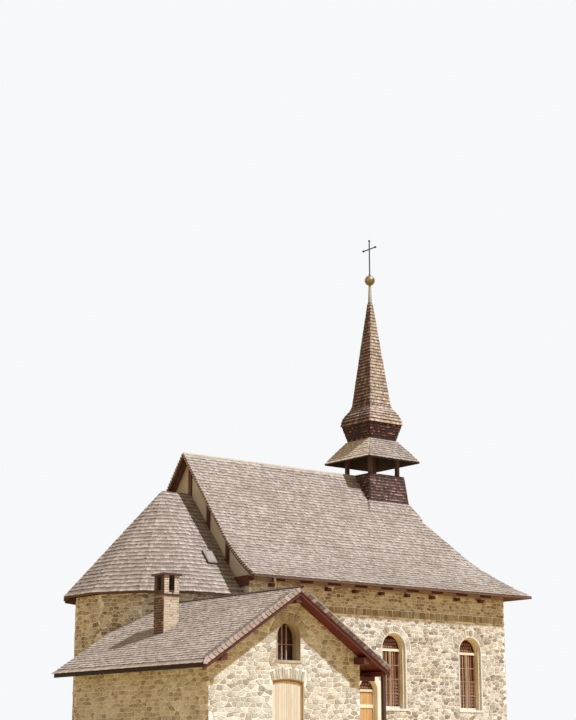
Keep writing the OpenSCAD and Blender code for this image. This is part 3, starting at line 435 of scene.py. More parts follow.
# %% Measures
NAVE_HALF, NAVE_END, WALL_TOP = 3.62, 6.10, 6.08
GABLE_X = -NAVE_END
RIDGE, KNEE_W, KNEE_FALL, FLARE_FALL = 10.98, 2.79, 1.245, 1.0
EAVE_W, EAVE_Z, VERGE_X, HIP_X = 4.40, 6.21, -6.46, 2.48
KNEE_Z = RIDGE - KNEE_FALL * KNEE_W
FLARE_W = EAVE_W - KNEE_W
EAVE_FALL = 2 * (KNEE_Z - EAVE_Z) / FLARE_W - FLARE_FALL
TURRET_X = 2.63
WINDOW_R, WINDOW_SPRING, WINDOW_SILL = 0.565, 4.04, 1.90
WINDOW_XS, END_WINDOW_YS, END_R = (-3.40, 0.42, 4.24), (-2.15, 2.15), 0.38
DOOR_X, DOOR_R, DOOR_SPRING, BAND = -0.83, 0.425, 2.52, 0.22
ENTRANCE_R, ENTRANCE_SPRING = 0.70, 2.70

CHANCEL_RIDGE, CHANCEL_FALL, CHANCEL_EAVE = 9.50, 1.16, 3.35
CHANCEL_HALF, CHANCEL_TOP = 2.95, 5.56
APSE_X, APSE_TURN, APSE_SIDES = -7.32, 30, 5
HALF_SIDE = math.tan(math.radians(APSE_TURN / 2))
CHANCEL_WINDOW_X, CHANCEL_WINDOW = 7.0, (0.32, 3.90, 2.40)

ANNEX_X, ANNEX_RIDGE, ANNEX_FALL, ANNEX_EAVE = -8.76, 5.19, 0.655, 3.52
ANNEX_VERGE_Y, ANNEX_REAR_Y, ANNEX_ROOF_T = -9.85, -1.35, 0.17
ANNEX_LEFT, ANNEX_RIGHT, ANNEX_FRONT, ANNEX_BACK = -11.69, -5.99, -9.25, -1.70
ANNEX_WALL_TOP = 2.85
ANNEX_DOOR_X, ANNEX_DOOR_HALF = -8.78, 0.595
ANNEX_WINDOW_R, ANNEX_WINDOW_SPRING, ANNEX_WINDOW_SILL = 0.45, 3.74, 3.04
CHIMNEY_X, CHIMNEY_Y, CHIMNEY_HALF = -10.61, -5.2, 0.57 / 2


def nave_height(w):
    if w <= KNEE_W:
        return RIDGE - KNEE_FALL * w
    u = w - KNEE_W
    return KNEE_Z - FLARE_FALL * u - (EAVE_FALL - FLARE_FALL) * u * u / (2 * FLARE_W)


def annex_top(x):
    return ANNEX_RIDGE - ANNEX_FALL * abs(x - ANNEX_X)


def apse_way(side):
    """The way out of one side of the apse, in plan."""
    turn = math.radians(-90 - APSE_TURN * (side + 1))
    return math.cos(turn), math.sin(turn)


nave_profile = [(KNEE_W + i * FLARE_W / 5, nave_height(KNEE_W + i * FLARE_W / 5))
                for i in range(5, -1, -1)] + [(0.0, RIDGE)]
chancel_profile = [(CHANCEL_EAVE, CHANCEL_RIDGE - CHANCEL_FALL * CHANCEL_EAVE),
                   (0.0, CHANCEL_RIDGE)]
annex_profile = [(ANNEX_EAVE, ANNEX_RIDGE - ANNEX_FALL * ANNEX_EAVE), (0.0, ANNEX_RIDGE)]
print("flare from", round(KNEE_Z, 3), "m down to", EAVE_Z, "m")

# %% [markdown]
# Shingles. A real shingle is a thin board split from a larch log, nailed so that only its lower
# third shows. One shingle is modelled, a wedge that is thick at its butt and thin at its head,
# and is then laid row by row, each a little different in width, thickness and reach. A roof
# side is described by its profile, from the eaves up, and by how far each row may run.

# %% One shingle
HEAD_THICKNESS = 0.35
bpy.ops.mesh.primitive_cube_add(size=1, location=(0.5, 0.5, 0.5))
shingle = bpy.context.object
shingle.name = "shingle_pattern"
bpy.ops.object.transform_apply(location=True)
bpy.ops.object.mode_set(mode="EDIT")
bpy.ops.mesh.select_all(action="DESELECT")
bpy.ops.object.mode_set(mode="OBJECT")
for vertex in shingle.data.vertices:
    vertex.select = vertex.co.y > 0.9 and vertex.co.z > 0.9
bpy.ops.object.mode_set(mode="EDIT")
bpy.ops.transform.translate(value=(0, 0, HEAD_THICKNESS - 1))
bpy.ops.object.mode_set(mode="OBJECT")
shingle_points = np.array([v.co for v in shingle.data.vertices])
shingle_faces = [list(p.vertices) for p in shingle.data.polygons]
bpy.data.objects.remove(shingle)
print("one shingle:", len(shingle_points), "points")


# %% Meshes from arrays of small solids
class Pile:
    """Collects many small closed solids, and makes one mesh of them."""

    def __init__(self, seed):
        self.points, self.faces, self.tints, self.board = [], [], [], []
        self.chance = random.Random(seed)

    def finish(self, name, finish, slot_name="grey_shingles", body="building"):
        mesh = bpy.data.meshes.new(name)
        mesh.from_pydata([tuple(p) for p in self.points], [], self.faces)
        mesh.attributes.new("tint", "FLOAT", "FACE").data.foreach_set(
            "value", np.asarray(self.tints, np.float32))
        if self.board:
            layer = mesh.uv_layers.new(name="board")
            corners = np.array([self.board[v] for f in self.faces for v in f], np.float32)
            layer.data.foreach_set("uv", corners.ravel())
        mesh.materials.append(finish)
        mesh.update()
        piece = bpy.data.objects.new(name, mesh)
        bpy.context.scene.collection.objects.link(piece)
        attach(piece, body)
        triangles = sum(len(f) - 2 for f in self.faces)
        print(name, len(self.faces), "faces,", triangles, "triangles")


class BoardStack(Pile):
    """Tapered boards, each from four corners on a surface and the way out of it."""

    def add(self, tail_left, tail_right, head_left, head_right, out, thick, lift, sink):
        first = len(self.points)
        tint = self.chance.random()
        shift = self.chance.random() * 40
        wide = (tail_right - tail_left).length
        length = (head_left - tail_left).length
        for x, y, z in shingle_points:
            low = tail_left.lerp(tail_right, x)
            high = head_left.lerp(head_right, x)
            place = low.lerp(high, y)
            rise = lift * (1 - y) - sink * y
            self.points.append(place + out * (rise + z * thick))
            self.board.append((shift + x * wide, y * length + z * 0.004))
        self.faces += [[first + i for i in face] for face in shingle_faces]
        self.tints += [tint] * len(shingle_faces)


def profile_walker(profile):
    """Length along a profile from the eaves up, and the way out of it at a length."""
    lengths = [0.0]
    for one, other in zip(profile, profile[1:]):
        lengths.append(lengths[-1] + math.dist(one, other))

    def at(length):
        length = min(max(length, 0.0), lengths[-1])
        i = max(k for k in range(len(profile) - 1) if lengths[k] <= length + 1e-9)
        share = (length - lengths[i]) / (lengths[i + 1] - lengths[i])
        (w0, z0), (w1, z1) = profile[i], profile[i + 1]
        dw, dz = w1 - w0, z1 - z0
        step = math.hypot(dw, dz)
        return w0 + share * dw, z0 + share * dz, (dz / step, -dw / step)
    return lengths[-1], at


SIDE_GAP, SLIVER, POINT = 0.004, 0.02, 0.002
LAST_ROW, COVER = 0.35, 2.1


def lay_shingles(stack, profile, place, limits, show, wide=(0.07, 0.15), thick=(0.014, 0.026),
                 keep=None, overhang=0.03, ragged=0.016):
    """Rows of shingles up a profile of (distance out, height) pairs.

    place(u, w, z) turns a spot into a point, place(0, a, b, True) a direction, and limits(w)
    gives a row's two ends."""
    total, at = profile_walker(profile)
    chance = stack.chance
    for row in range(int(total / show) + 1):
        low = row * show
        if total - low < show * LAST_ROW:
            break
        ends = limits(at(low + show / 2)[0])
        wave = 0.5 * ragged * math.sin(row * 1.7 + 0.4)
        u = ends[0] - chance.random() * wide[1]
        while u < ends[1]:
            width = chance.uniform(*wide)
            reach = chance.uniform(-ragged, ragged) + wave
            if row == 0:
                reach = chance.uniform(-0.5, 0.5) * ragged - overhang
            w0, z0, out0 = at(low + max(reach, -low))
            beyond = min(0.0, low + reach)
            w0, z0 = w0 - beyond * out0[1], z0 + beyond * out0[0]
            w1, z1, out1 = at(min(low + show * COVER, total))
            low_ends, high_ends = limits(w0), limits(w1)
            left, right = u, u + width - SIDE_GAP
            a, b = max(left, low_ends[0]), min(right, low_ends[1])
            c, d = max(left, high_ends[0]), min(right, high_ends[1])
            u += width
            if b - a < SLIVER:
                continue
            if d - c < 2 * POINT:
                middle = min(max((a + b) / 2, high_ends[0]), high_ends[1])
                c, d = middle - POINT, middle + POINT
            if keep is not None and not keep(place((a + b) / 2, w0, z0)):
                continue
            out = place(0, (out0[0] + out1[0]) / 2, (out0[1] + out1[1]) / 2, True)
            body = chance.uniform(*thick)
            stack.add(place(a, w0, z0), place(b, w0, z0), place(c, w1, z1), place(d, w1, z1),
                      out.normalized(), body, chance.uniform(0.010, 0.018), 0.012)


def facing(origin, side, out):
    """A place function for a roof side: side runs along the eaves, out away from the ridge."""
    origin, side, out = Vector(origin), Vector(side), Vector(out)

    def place(u, w, z, way=False):
        if way:
            return out * w + Vector((0, 0, z))
        return origin + side * u + out * w + Vector((0, 0, z))
    return place


# %% [markdown]
# The nave roof. Its entrance end is hipped at 45 degrees in plan, and the turret stands free of
# its shingles.

# %% Nave roof
NAVE_SHOW = 0.15
NAVE_LAP, CHANCEL_LAP = 0.012, 0.014
APRON_REACH, APRON_FOOT = 0.95, 9.3


def outside_turret(point):
    return max(abs(point.x - TURRET_X), abs(point.y)) > APRON_REACH or point.z < APRON_FOOT


for name, way, seed in (("front", -1, 11), ("back", 1, 12)):
    stack = BoardStack(seed)
    lay_shingles(stack, nave_profile, facing((0, 0, 0), (1, 0, 0), (0, way, 0)),
                 lambda w: (VERGE_X, HIP_X + w), NAVE_SHOW, keep=outside_turret, overhang=0.004)
    stack.finish("nave_shingles_" + name, silver_shingles)
stack = BoardStack(13)
lay_shingles(stack, nave_profile, facing((HIP_X, 0, 0), (0, 1, 0), (1, 0, 0)),
             lambda w: (-w - NAVE_LAP, w + NAVE_LAP), NAVE_SHOW, keep=outside_turret,
             overhang=0.004)
stack.finish("nave_shingles_hip", silver_shingles)

# %% [markdown]
# The chancel's shingles show a little more of their length, as do those of the apse's fan.

# %% Chancel and apse roof
CHANCEL_SHOW = 0.19
stack = BoardStack(21)
for way in (-1, 1):
    lay_shingles(stack, chancel_profile, facing((0, 0, 0), (1, 0, 0), (0, way, 0)),
                 lambda w: (APSE_X - w * HALF_SIDE, GABLE_X), CHANCEL_SHOW)
for side in range(APSE_SIDES):
    out = Vector((*apse_way(side), 0))
    across = Vector((-out.y, out.x, 0))
    lay_shingles(stack, chancel_profile, facing((APSE_X, 0, 0), across, out),
                 lambda w: (-w * HALF_SIDE - CHANCEL_LAP, w * HALF_SIDE + CHANCEL_LAP),
                 CHANCEL_SHOW)
stack.finish("chancel_shingles", silver_shingles)

# %% [markdown]
# The annex roof runs back until it meets the chancel and the nave, so its rows end at their
# walls. At the front verge the shingles stand in a stack that shows their ends.

# %% Annex roof
ANNEX_SHOW = 0.145


def chancel_front(x):
    """The y of the front of chancel and apse over a place x, or the rear of the annex."""
    if x > GABLE_X:
        return -NAVE_HALF
    if x > APSE_X - CHANCEL_HALF * HALF_SIDE:
        return -CHANCEL_HALF
    y = ANNEX_REAR_Y
    for side in range(APSE_SIDES):
        nx, ny = apse_way(side)
        if ny < -0.05:
            hit = (CHANCEL_HALF - (x - APSE_X) * nx) / ny
            y = hit if y == ANNEX_REAR_Y else max(y, hit)
    return min(y, ANNEX_REAR_Y)


def outside_chimney(point):
    dx = abs(point.x - CHIMNEY_X - CHIMNEY_HALF)
    dy = abs(point.y - CHIMNEY_Y - CHIMNEY_HALF)
    return max(dx, dy) > CHIMNEY_HALF


for name, way, seed in (("left", -1, 31), ("right", 1, 32)):
    stack = BoardStack(seed)
    lay_shingles(stack, annex_profile, facing((ANNEX_X, 0, 0), (0, 1, 0), (way, 0, 0)),
                 lambda w: (ANNEX_VERGE_Y, chancel_front(ANNEX_X + way * w)), ANNEX_SHOW,
                 keep=outside_chimney, ragged=0.010, thick=(0.011, 0.020), overhang=0.10)
    stack.finish("annex_shingles_" + name, annex_shingles)

# %% [markdown]
# The turret carries shingles on every face: dark stained ones on its battered box and on the drum
# under the spire, whose brightest boards are painted glints, bare ones on the skirt roof and on
# the spire. The spire spreads at its foot like a bell. Its two sides away from the sun are darker,
# painted shade, and the skirt's left side is lighter, painted light.

# %% Turret, drum and spire
turret_sides = [((1, 0, 0), (0, -1, 0)), ((0, 1, 0), (1, 0, 0)),
                ((-1, 0, 0), (0, 1, 0)), ((0, -1, 0), (-1, 0, 0))]


def lay_round(stack, profile, show, sides, **settings):
    for side in sides:
        across, out = turret_sides[side]
        lay_shingles(stack, profile, facing((TURRET_X, 0, 0), across, out),
                     lambda w: (-w, w), show, **settings)


def above_nave_roof(point):
    return point.z > nave_height(abs(point.y)) - 0.02 if point.x < HIP_X else True


box_profile, left_box_profile = [(1.01, 9.87), (0.89, 11.01)], [(1.08, 9.2), (0.89, 11.01)]
apron_profile = [(1.38, 9.284), (1.00, 9.93)]
skirt_profile = [(1.34, 11.60), (0.68, 12.48)]
drum_profile = [(0.68, 12.50), (0.85, 13.11)]
spire_profile = [(0.875, 13.11), (0.865, 13.21), (0.84, 13.33), (0.755, 13.53), (0.64, 13.67),
                 (0.555, 13.78), (0.06, 18.25)]
box = dict(wide=(0.08, 0.13), ragged=0.004)
skirt = dict(wide=(0.06, 0.12), overhang=0.02)
spire = dict(wide=(0.07, 0.12), thick=(0.020, 0.032), overhang=0.01, ragged=0.007)
turret_pieces = [
    ("turret_box_shingles", 41, brown_shingles, "brown_shingles",
     [(box_profile, 0.12, (0, 1, 2), dict(box, overhang=0.01)),
      (left_box_profile, 0.12, (3,), dict(box, keep=above_nave_roof))]),
    ("turret_apron_shingles", 42, silver_shingles, "grey_shingles",
     [(apron_profile, 0.15, (0, 1, 2), dict(wide=(0.07, 0.13))),
      (apron_profile, 0.15, (3,), dict(wide=(0.05, 0.09), keep=above_nave_roof))]),
    ("skirt_roof_shingles", 43, skirt_shingles, "grey_shingles",
     [(skirt_profile, 0.12, (0, 1, 2), skirt)]),
    ("skirt_roof_shingles_left", 46, painted_light_skirt_shingles, "grey_shingles",
     [(skirt_profile, 0.12, (3,), skirt)]),
    ("drum_shingles", 44, drum_boards_with_painted_glints, "brown_shingles",
     [(drum_profile, 0.115, (0, 1, 2, 3), dict(wide=(0.06, 0.11), overhang=0.0, ragged=0.006))]),
    ("spire_shingles_sunny", 45, spire_shingles, "grey_shingles",
     [(spire_profile, 0.135, (0, 1), spire)]),
    ("spire_shingles_with_painted_shade", 47, painted_shade_spire_shingles, "grey_shingles",
     [(spire_profile, 0.135, (2, 3), spire)])]
for name, seed, finish, slot_name, runs in turret_pieces:
    stack = BoardStack(seed)
    for profile, show, sides, settings in runs:
        lay_round(stack, profile, show, sides, **settings)
    stack.finish(name, finish, slot_name)

# %% [markdown]
# Rubble walls. The mason lays field stones in rough courses and fills the joints with lime, so
# the wall is one sheet of mortar with stones standing a little out of it. Each stone here starts
# as a seed in a jittered course. It takes the ground nearer to it than to any other seed, less
# half a joint, and is cut back at the wall's edges and openings. Then it is raised as a closed
# block with a rounded shoulder and a slightly tilted face.

# %% Stones
JOINT, FOOT = 0.018, 0.004
COURSES, LENGTHS, PROUD, RING_PROUD = (0.08, 0.185), (0.12, 0.36), (0.006, 0.020), 0.022
SMALLEST = 0.014
# FLAT makes the stones longer than they are high. An opening cuts only the stones whose seeds
# are within NEAR of it, and BIN is the size of the squares that sort the seeds.
FLAT, NEAR, BIN = 2.1, 0.6, 0.5


def on_wall(origin, out):
    """A place function on a wall face: u runs right as seen from outside, deep goes inwards."""
    origin, out = Vector(origin), Vector(out).normalized()
    right = Vector((0, 0, 1)).cross(out)
    return lambda u, z, deep: origin + right * u + Vector((0, 0, z)) - out * deep


front_face, back_face = [on_wall((0, way * NAVE_HALF, 0), (0, way, 0)) for way in (-1, 1)]
end_face, gable_face = [on_wall((way * NAVE_END, 0, 0), (way, 0, 0)) for way in (1, -1)]
chancel_faces = [on_wall((0, way * CHANCEL_HALF, 0), (0, way, 0)) for way in (-1, 1)]
apse_outs = [Vector((*apse_way(side), 0)) for side in range(APSE_SIDES)]
apse_faces = [on_wall(Vector((APSE_X, 0, 0)) + out * CHANCEL_HALF, out) for out in apse_outs]
annex_face = on_wall((0, ANNEX_FRONT, 0), (0, -1, 0))


class StoneWall(Pile):
    """Stones on one flat wall face at a time, the one whose place function is set."""

    def __init__(self, seed, place=None):
        super().__init__(seed)
        self.place = place

    def raise_stone(self, outline, height, tint=None, round_off=0.16):
        if len(outline) < 3:
            return
        cu = sum(p[0] for p in outline) / len(outline)
        cz = sum(p[1] for p in outline) / len(outline)
        if min(math.dist(p, (cu, cz)) for p in outline) < SMALLEST:
            return
        tilt = (self.chance.uniform(-0.06, 0.06), self.chance.uniform(-0.06, 0.06))
        first, n = len(self.points), len(outline)
        for inset, level in ((0.0, -0.006), (0.02, 0.5 * height), (round_off, height)):
            for u, z in outline:
                u, z = u + (cu - u) * inset, z + (cz - z) * inset
                up = level + ((u - cu) * tilt[0] + (z - cz) * tilt[1] if inset else 0)
                self.points.append(self.place(u, z, -up))
        faces = [list(range(first + n - 1, first - 1, -1)),
                 list(range(first + 2 * n, first + 3 * n))]
        for ring in (first, first + n):
            for i in range(n):
                j = (i + 1) % n
                faces.append([ring + i, ring + j, ring + n + j, ring + n + i])
        tint = self.chance.random() if tint is None else tint
        self.faces += faces
        self.tints += [tint] * len(faces)


def cut_back(outline, nu, nz, limit):
    """The part of an outline where nu * u + nz * z stays below the limit."""
    kept = []
    for (u0, z0), (u1, z1) in zip(outline, outline[1:] + outline[:1]):
        a, b = nu * u0 + nz * z0 - limit, nu * u1 + nz * z1 - limit
        if a <= 0:
            kept.append((u0, z0))
        if (a < 0 < b) or (b < 0 < a):
            share = a / (a - b)
            kept.append((u0 + share * (u1 - u0), z0 + share * (z1 - z0)))
    return kept


def sow(chance, low, high):
    """Seeds in rough courses over the box from low to high."""
    seeds, z = [], low[1] - 0.1
    while z < high[1] + 0.1:
        course = chance.uniform(*COURSES)
        u = low[0] - chance.uniform(0, LENGTHS[1])
        while u < high[0] + 0.2:
            length = chance.uniform(*LENGTHS) * (1.0 if chance.random() < 0.7 else 0.62)
            seeds.append((u + length / 2, z + course / 2 + chance.uniform(-0.3, 0.3) * course))
            u += length
        z += course
    return seeds


def lay_rubble(wall, edges, low, high, holes=(), keep=None):
    """Stones over a convex face. edges are (nu, nz, limit) half planes that bound it, holes are
    functions that give the nearest spot of an opening's edge, or None where it is no matter."""
    chance = wall.chance
    seeds = [seed for seed in sow(chance, low, high)
             if all(hole(*seed) != "inside" for hole in holes)]
    bins = {}
    for index, (u, z) in enumerate(seeds):
        bins.setdefault((int(u // BIN), int(z * FLAT // BIN)), []).append(index)
    for index, (u, z) in enumerate(seeds):
        if not (low[0] < u < high[0] and low[1] < z < high[1]):
            continue
        if keep is not None and not keep(u, z):
            continue
        cuts = []
        for spot in filter(None, (hole(u, z) for hole in holes)):
            away = (spot[0] - u, spot[1] - z)
            reach = math.hypot(*away)
            if reach < NEAR:
                n = (away[0] / max(reach, 1e-6), away[1] / max(reach, 1e-6))
                cuts.append((n[0], n[1], n[0] * spot[0] + n[1] * spot[1] - JOINT / 2))
        outline = [(u - 0.6, z - 0.5), (u + 0.6, z - 0.5), (u + 0.6, z + 0.5), (u - 0.6, z + 0.5)]
        bu, bz = int(u // BIN), int(z * FLAT // BIN)
        for other in [k for i in (-1, 0, 1) for j in (-1, 0, 1)
                      for k in bins.get((bu + i, bz + j), ())]:
            if other == index:
                continue
            ou, oz = seeds[other]
            nu, nz = ou - u, (oz - z) * FLAT * FLAT
            long = math.hypot(nu, nz)
            limit = (ou * ou - u * u + (oz * oz - z * z) * FLAT * FLAT) / 2
            outline = cut_back(outline, nu / long, nz / long, limit / long - JOINT / 2)
        for nu, nz, limit in edges + cuts:
            outline = cut_back(outline, nu, nz, limit)
        wall.raise_stone(outline, chance.uniform(*PROUD))


def lay_panel(wall, u0, u1, z0, z1, holes=(), keep=None, short=0.0, lap=0.010):
    """Stones over a rectangle, past its ends by lap so that two faces' stones meet at a corner.
    A panel that starts on the ground stands FOOT above it."""
    edges = [(1, 0, u1 + lap), (-1, 0, -u0 + lap), (0, 1, z1 - short), (0, -1, -(z0 or FOOT))]
    lay_rubble(wall, edges, (u0, z0), (u1, z1), holes, keep)


def box_hole(u0, u1, z0, z1):
    """An upright opening with straight sides."""
    def nearest(u, z):
        if u0 < u < u1 and z0 < z < z1:
            return "inside"
        return min(max(u, u0), u1), min(max(z, z0), z1)
    return nearest


def round_hole(cu, spring, radius):
    """The round head of an opening, with the ring of stones over it."""
    def nearest(u, z):
        away = math.hypot(u - cu, z - spring)
        if z > spring - 0.05 and away < radius:
            return "inside"
        if z < spring - 0.05:
            return None
        return cu + (u - cu) * radius / away, spring + (z - spring) * radius / away
    return nearest


def fan_hole(cu, half, foot, centre_z, radius):
    """The fan of stones over a nearly flat head."""
    def nearest(u, z):
        side = min(max(u, cu - half), cu + half)
        top = centre_z + math.sqrt(radius ** 2 - (side - cu) ** 2)
        if side == u and foot < z < top:
            return "inside"
        if side == u and z >= top:
            away = math.hypot(u - cu, z - centre_z)
            return cu + (u - cu) * radius / away, centre_z + (z - centre_z) * radius / away
        return side, min(max(z, foot), top)
    return nearest


def arch_holes(cu, radius, spring, foot=0, ring=0.0):
    """A round-headed opening, with what stands round its head."""
    return [box_hole(cu - radius, cu + radius, foot, spring),
            round_hole(cu, spring, radius + ring)]


def ring_of_stones(wall, cu, spring, inner, deep, wide=0.125, span=(0, 180), tints=(0.0, 1.0)):
    """Wedge-shaped arch stones that stand on end round a round head."""
    chance = wall.chance
    n = max(3, round(math.radians(span[1] - span[0]) * (inner + deep / 2) / wide))
    turns = [span[0] + (span[1] - span[0]) * (i + chance.uniform(-0.12, 0.12) * (0 < i < n)) / n
             for i in range(n + 1)]
    for one, other in zip(turns, turns[1:]):
        far = inner + deep * chance.uniform(0.86, 1.06)
        corners = []
        for radius, reach in ((inner, inner + 0.004), (far, far)):
            ends = [(math.radians(turn) + side * JOINT / 2 / radius)
                    for turn, side in ((one, 1), (other, -1))]
            corners.append([(cu + reach * math.cos(a), spring + reach * math.sin(a))
                            for a in ends])
        near_pair, far_pair = corners
        wall.raise_stone([near_pair[0], *far_pair, near_pair[1]],
                         RING_PROUD * chance.uniform(0.7, 1.2), chance.uniform(*tints), 0.09)


def upright_course(wall, u0, u1, z0, z1):
    """One course of stones that stand on end, as a level line along the wall."""
    chance = wall.chance
    u = u0
    while u < u1 - 0.06:
        width = min(chance.uniform(0.13, 0.32), u1 - u)
        lean = chance.uniform(-0.02, 0.02)
        a, b = u + JOINT / 2, u + width - JOINT / 2
        # These stones take only the darker tints: painted shade, as the course lies in the eaves'
        # shadow.
        wall.raise_stone([(a, z0 + JOINT), (b, z0 + JOINT), (b + lean, z1 - JOINT),
                          (a + lean, z1 - JOINT)], chance.uniform(0.008, 0.02),
                         chance.uniform(0.0, 0.45), 0.1)
        u += width


# %% [markdown]
# The nave's long walls carry three arched windows each, with a ring of wedge-shaped stones over
# every head, and a course of upright stones above the windows where the eaves' shadow ends.

# %% Nave walls
RING, SILL_DROP = 0.27, 0.02
SOLDIERS = (5.14, 5.41)
PIER_TOP = 5.89


def above_annex(x, z):
    return z > annex_top(x) - 0.1


for name, way, place, seed in (("front", -1, front_face, 61), ("back", 1, back_face, 62)):
    wall = StoneWall(seed, place)
    centres = [-way * x for x in WINDOW_XS]
    holes = [hole for centre in centres for hole in
             arch_holes(centre, WINDOW_R, WINDOW_SPRING, WINDOW_SILL - SILL_DROP, RING)]
    keep = None
    if way < 0:
        holes += arch_holes(DOOR_X, DOOR_R + BAND, DOOR_SPRING)
        keep = lambda u, z: u > ANNEX_RIGHT or above_annex(u, z)
    lay_panel(wall, -NAVE_END, NAVE_END, 0, SOLDIERS[0], holes, keep)
    lay_panel(wall, -NAVE_END, NAVE_END, SOLDIERS[1], WALL_TOP, (), keep, 0.01)
    upright_course(wall, -NAVE_END, NAVE_END, *SOLDIERS)
    for centre in centres:
        ring_of_stones(wall, centre, WINDOW_SPRING, WINDOW_R, RING)
    wall.finish("stones_nave_" + name, rubble, "masonry")

wall = StoneWall(63, end_face)
holes = [hole for centre in END_WINDOW_YS for hole in
         arch_holes(centre, END_R, WINDOW_SPRING, WINDOW_SILL - SILL_DROP, RING)]
holes += arch_holes(0, ENTRANCE_R + BAND, ENTRANCE_SPRING)
lay_panel(wall, -NAVE_HALF, NAVE_HALF, 0, WALL_TOP, holes, None, 0.01)
for centre in END_WINDOW_YS:
    ring_of_stones(wall, centre, WINDOW_SPRING, END_R, RING)
wall.place = gable_face
for u0, u1 in ((CHANCEL_HALF, NAVE_HALF), (-NAVE_HALF, -CHANCEL_HALF)):
    lay_panel(wall, u0, u1, 0, PIER_TOP, (), lambda u, z: u < 0 or above_annex(GABLE_X, z))
wall.finish("stones_nave_ends", rubble, "masonry")

# %% [markdown]
# Chancel and apse have stones only where the annex doesn't lean on them. Their two windows face
# the back.

# %% Chancel and apse walls
CHANCEL_RING, APSE_WINDOW_SIDE = 0.24, 3
radius, spring, sill = CHANCEL_WINDOW
half = CHANCEL_HALF * HALF_SIDE


def chancel_window(centre):
    return arch_holes(centre, radius, spring, sill - SILL_DROP, CHANCEL_RING)


wall = StoneWall(64, chancel_faces[0])
lay_panel(wall, APSE_X - half, GABLE_X, 0, CHANCEL_TOP, (), above_annex, 0.01)
wall.place = chancel_faces[1]
lay_panel(wall, -GABLE_X, half - APSE_X, 0, CHANCEL_TOP, chancel_window(CHANCEL_WINDOW_X), None,
          0.01)
ring_of_stones(wall, CHANCEL_WINDOW_X, spring, radius, CHANCEL_RING)


def clear_of_annex(u, z):
    spot = wall.place(u, 0, 0)
    return spot.y > ANNEX_REAR_Y - 0.2 or above_annex(spot.x, z)


for side, place in enumerate(apse_faces):
    wall.place = place
    holes = chancel_window(0.0) if side == APSE_WINDOW_SIDE else ()
    lay_panel(wall, -half, half, 0, CHANCEL_TOP, holes, clear_of_annex, 0.01, 0.004)
    if side == APSE_WINDOW_SIDE:
        ring_of_stones(wall, 0.0, spring, radius, CHANCEL_RING)
wall.finish("stones_chancel", rubble, "masonry")

# %% [markdown]
# The annex's front is a gable. Its doorway has a nearly flat head under a fan of long stones,
# and the window over it a round one. Its stones are paler than the nave's.

# %% Annex walls
DOOR_SIDE_Z, DOOR_HEAD_Z = 2.4, 2.505
FAN_R, FAN_HALF, FAN_DEEP = 2.2, 0.63, 0.33
ANNEX_RING = 0.30
REAR_END = 10.0
wall = StoneWall(65, annex_face)
slope = math.hypot(1, ANNEX_FALL)
peak = ANNEX_RIDGE - ANNEX_ROOF_T - 0.01
gable_edges = [(1, 0, ANNEX_RIGHT + 0.01), (-1, 0, -ANNEX_LEFT + 0.01), (0, -1, -FOOT),
               (ANNEX_FALL / slope, 1 / slope, (peak + ANNEX_FALL * ANNEX_X) / slope),
               (-ANNEX_FALL / slope, 1 / slope, (peak - ANNEX_FALL * ANNEX_X) / slope)]
lay_rubble(wall, gable_edges, (ANNEX_LEFT, 0), (ANNEX_RIGHT, peak), [
    box_hole(ANNEX_DOOR_X - ANNEX_DOOR_HALF, ANNEX_DOOR_X + ANNEX_DOOR_HALF, 0, DOOR_SIDE_Z),
    fan_hole(ANNEX_DOOR_X, ANNEX_DOOR_HALF + 0.10, DOOR_SIDE_Z, DOOR_HEAD_Z - FAN_R,
             FAN_R + FAN_DEEP),
    *arch_holes(ANNEX_DOOR_X, ANNEX_WINDOW_R, ANNEX_WINDOW_SPRING, ANNEX_WINDOW_SILL - SILL_DROP,
                ANNEX_RING)])
# The ring over the annex window takes only the darker tints: painted shade.
ring_of_stones(wall, ANNEX_DOOR_X, ANNEX_WINDOW_SPRING, ANNEX_WINDOW_R, ANNEX_RING, 0.115,
               tints=(0.0, 0.42))
fan_turn = math.degrees(math.asin(FAN_HALF / FAN_R))
ring_of_stones(wall, ANNEX_DOOR_X, DOOR_HEAD_Z - FAN_R, FAN_R, FAN_DEEP, 0.105,
               (90 - fan_turn, 90 + fan_turn))
wall.place = on_wall((ANNEX_LEFT, 0, 0), (-1, 0, 0))
lay_panel(wall, -ANNEX_BACK, -ANNEX_FRONT, 0, ANNEX_WALL_TOP)
wall.place = on_wall((ANNEX_RIGHT, 0, 0), (1, 0, 0))
lay_panel(wall, ANNEX_FRONT, -NAVE_HALF, 0, ANNEX_WALL_TOP)
wall.place = on_wall((0, ANNEX_BACK, 0), (0, 1, 0))
rear_edges = [(1, 0, -ANNEX_LEFT + 0.01), (-1, 0, -REAR_END), (0, -1, -FOOT),
              (ANNEX_FALL / slope, 1 / slope, (peak - ANNEX_FALL * ANNEX_X) / slope)]
lay_rubble(wall, rear_edges, (-ANNEX_X, 0), (-ANNEX_LEFT, peak))
wall.finish("stones_annex", annex_rubble, "masonry")

# %% [markdown]
# The chimney is built of small pale bricks, half lapped. Every few courses are burnt more orange,
# and the side away from the sun takes the darkest tints, painted shade. The head has a pier at
# each corner, and the bricks leave its openings free.

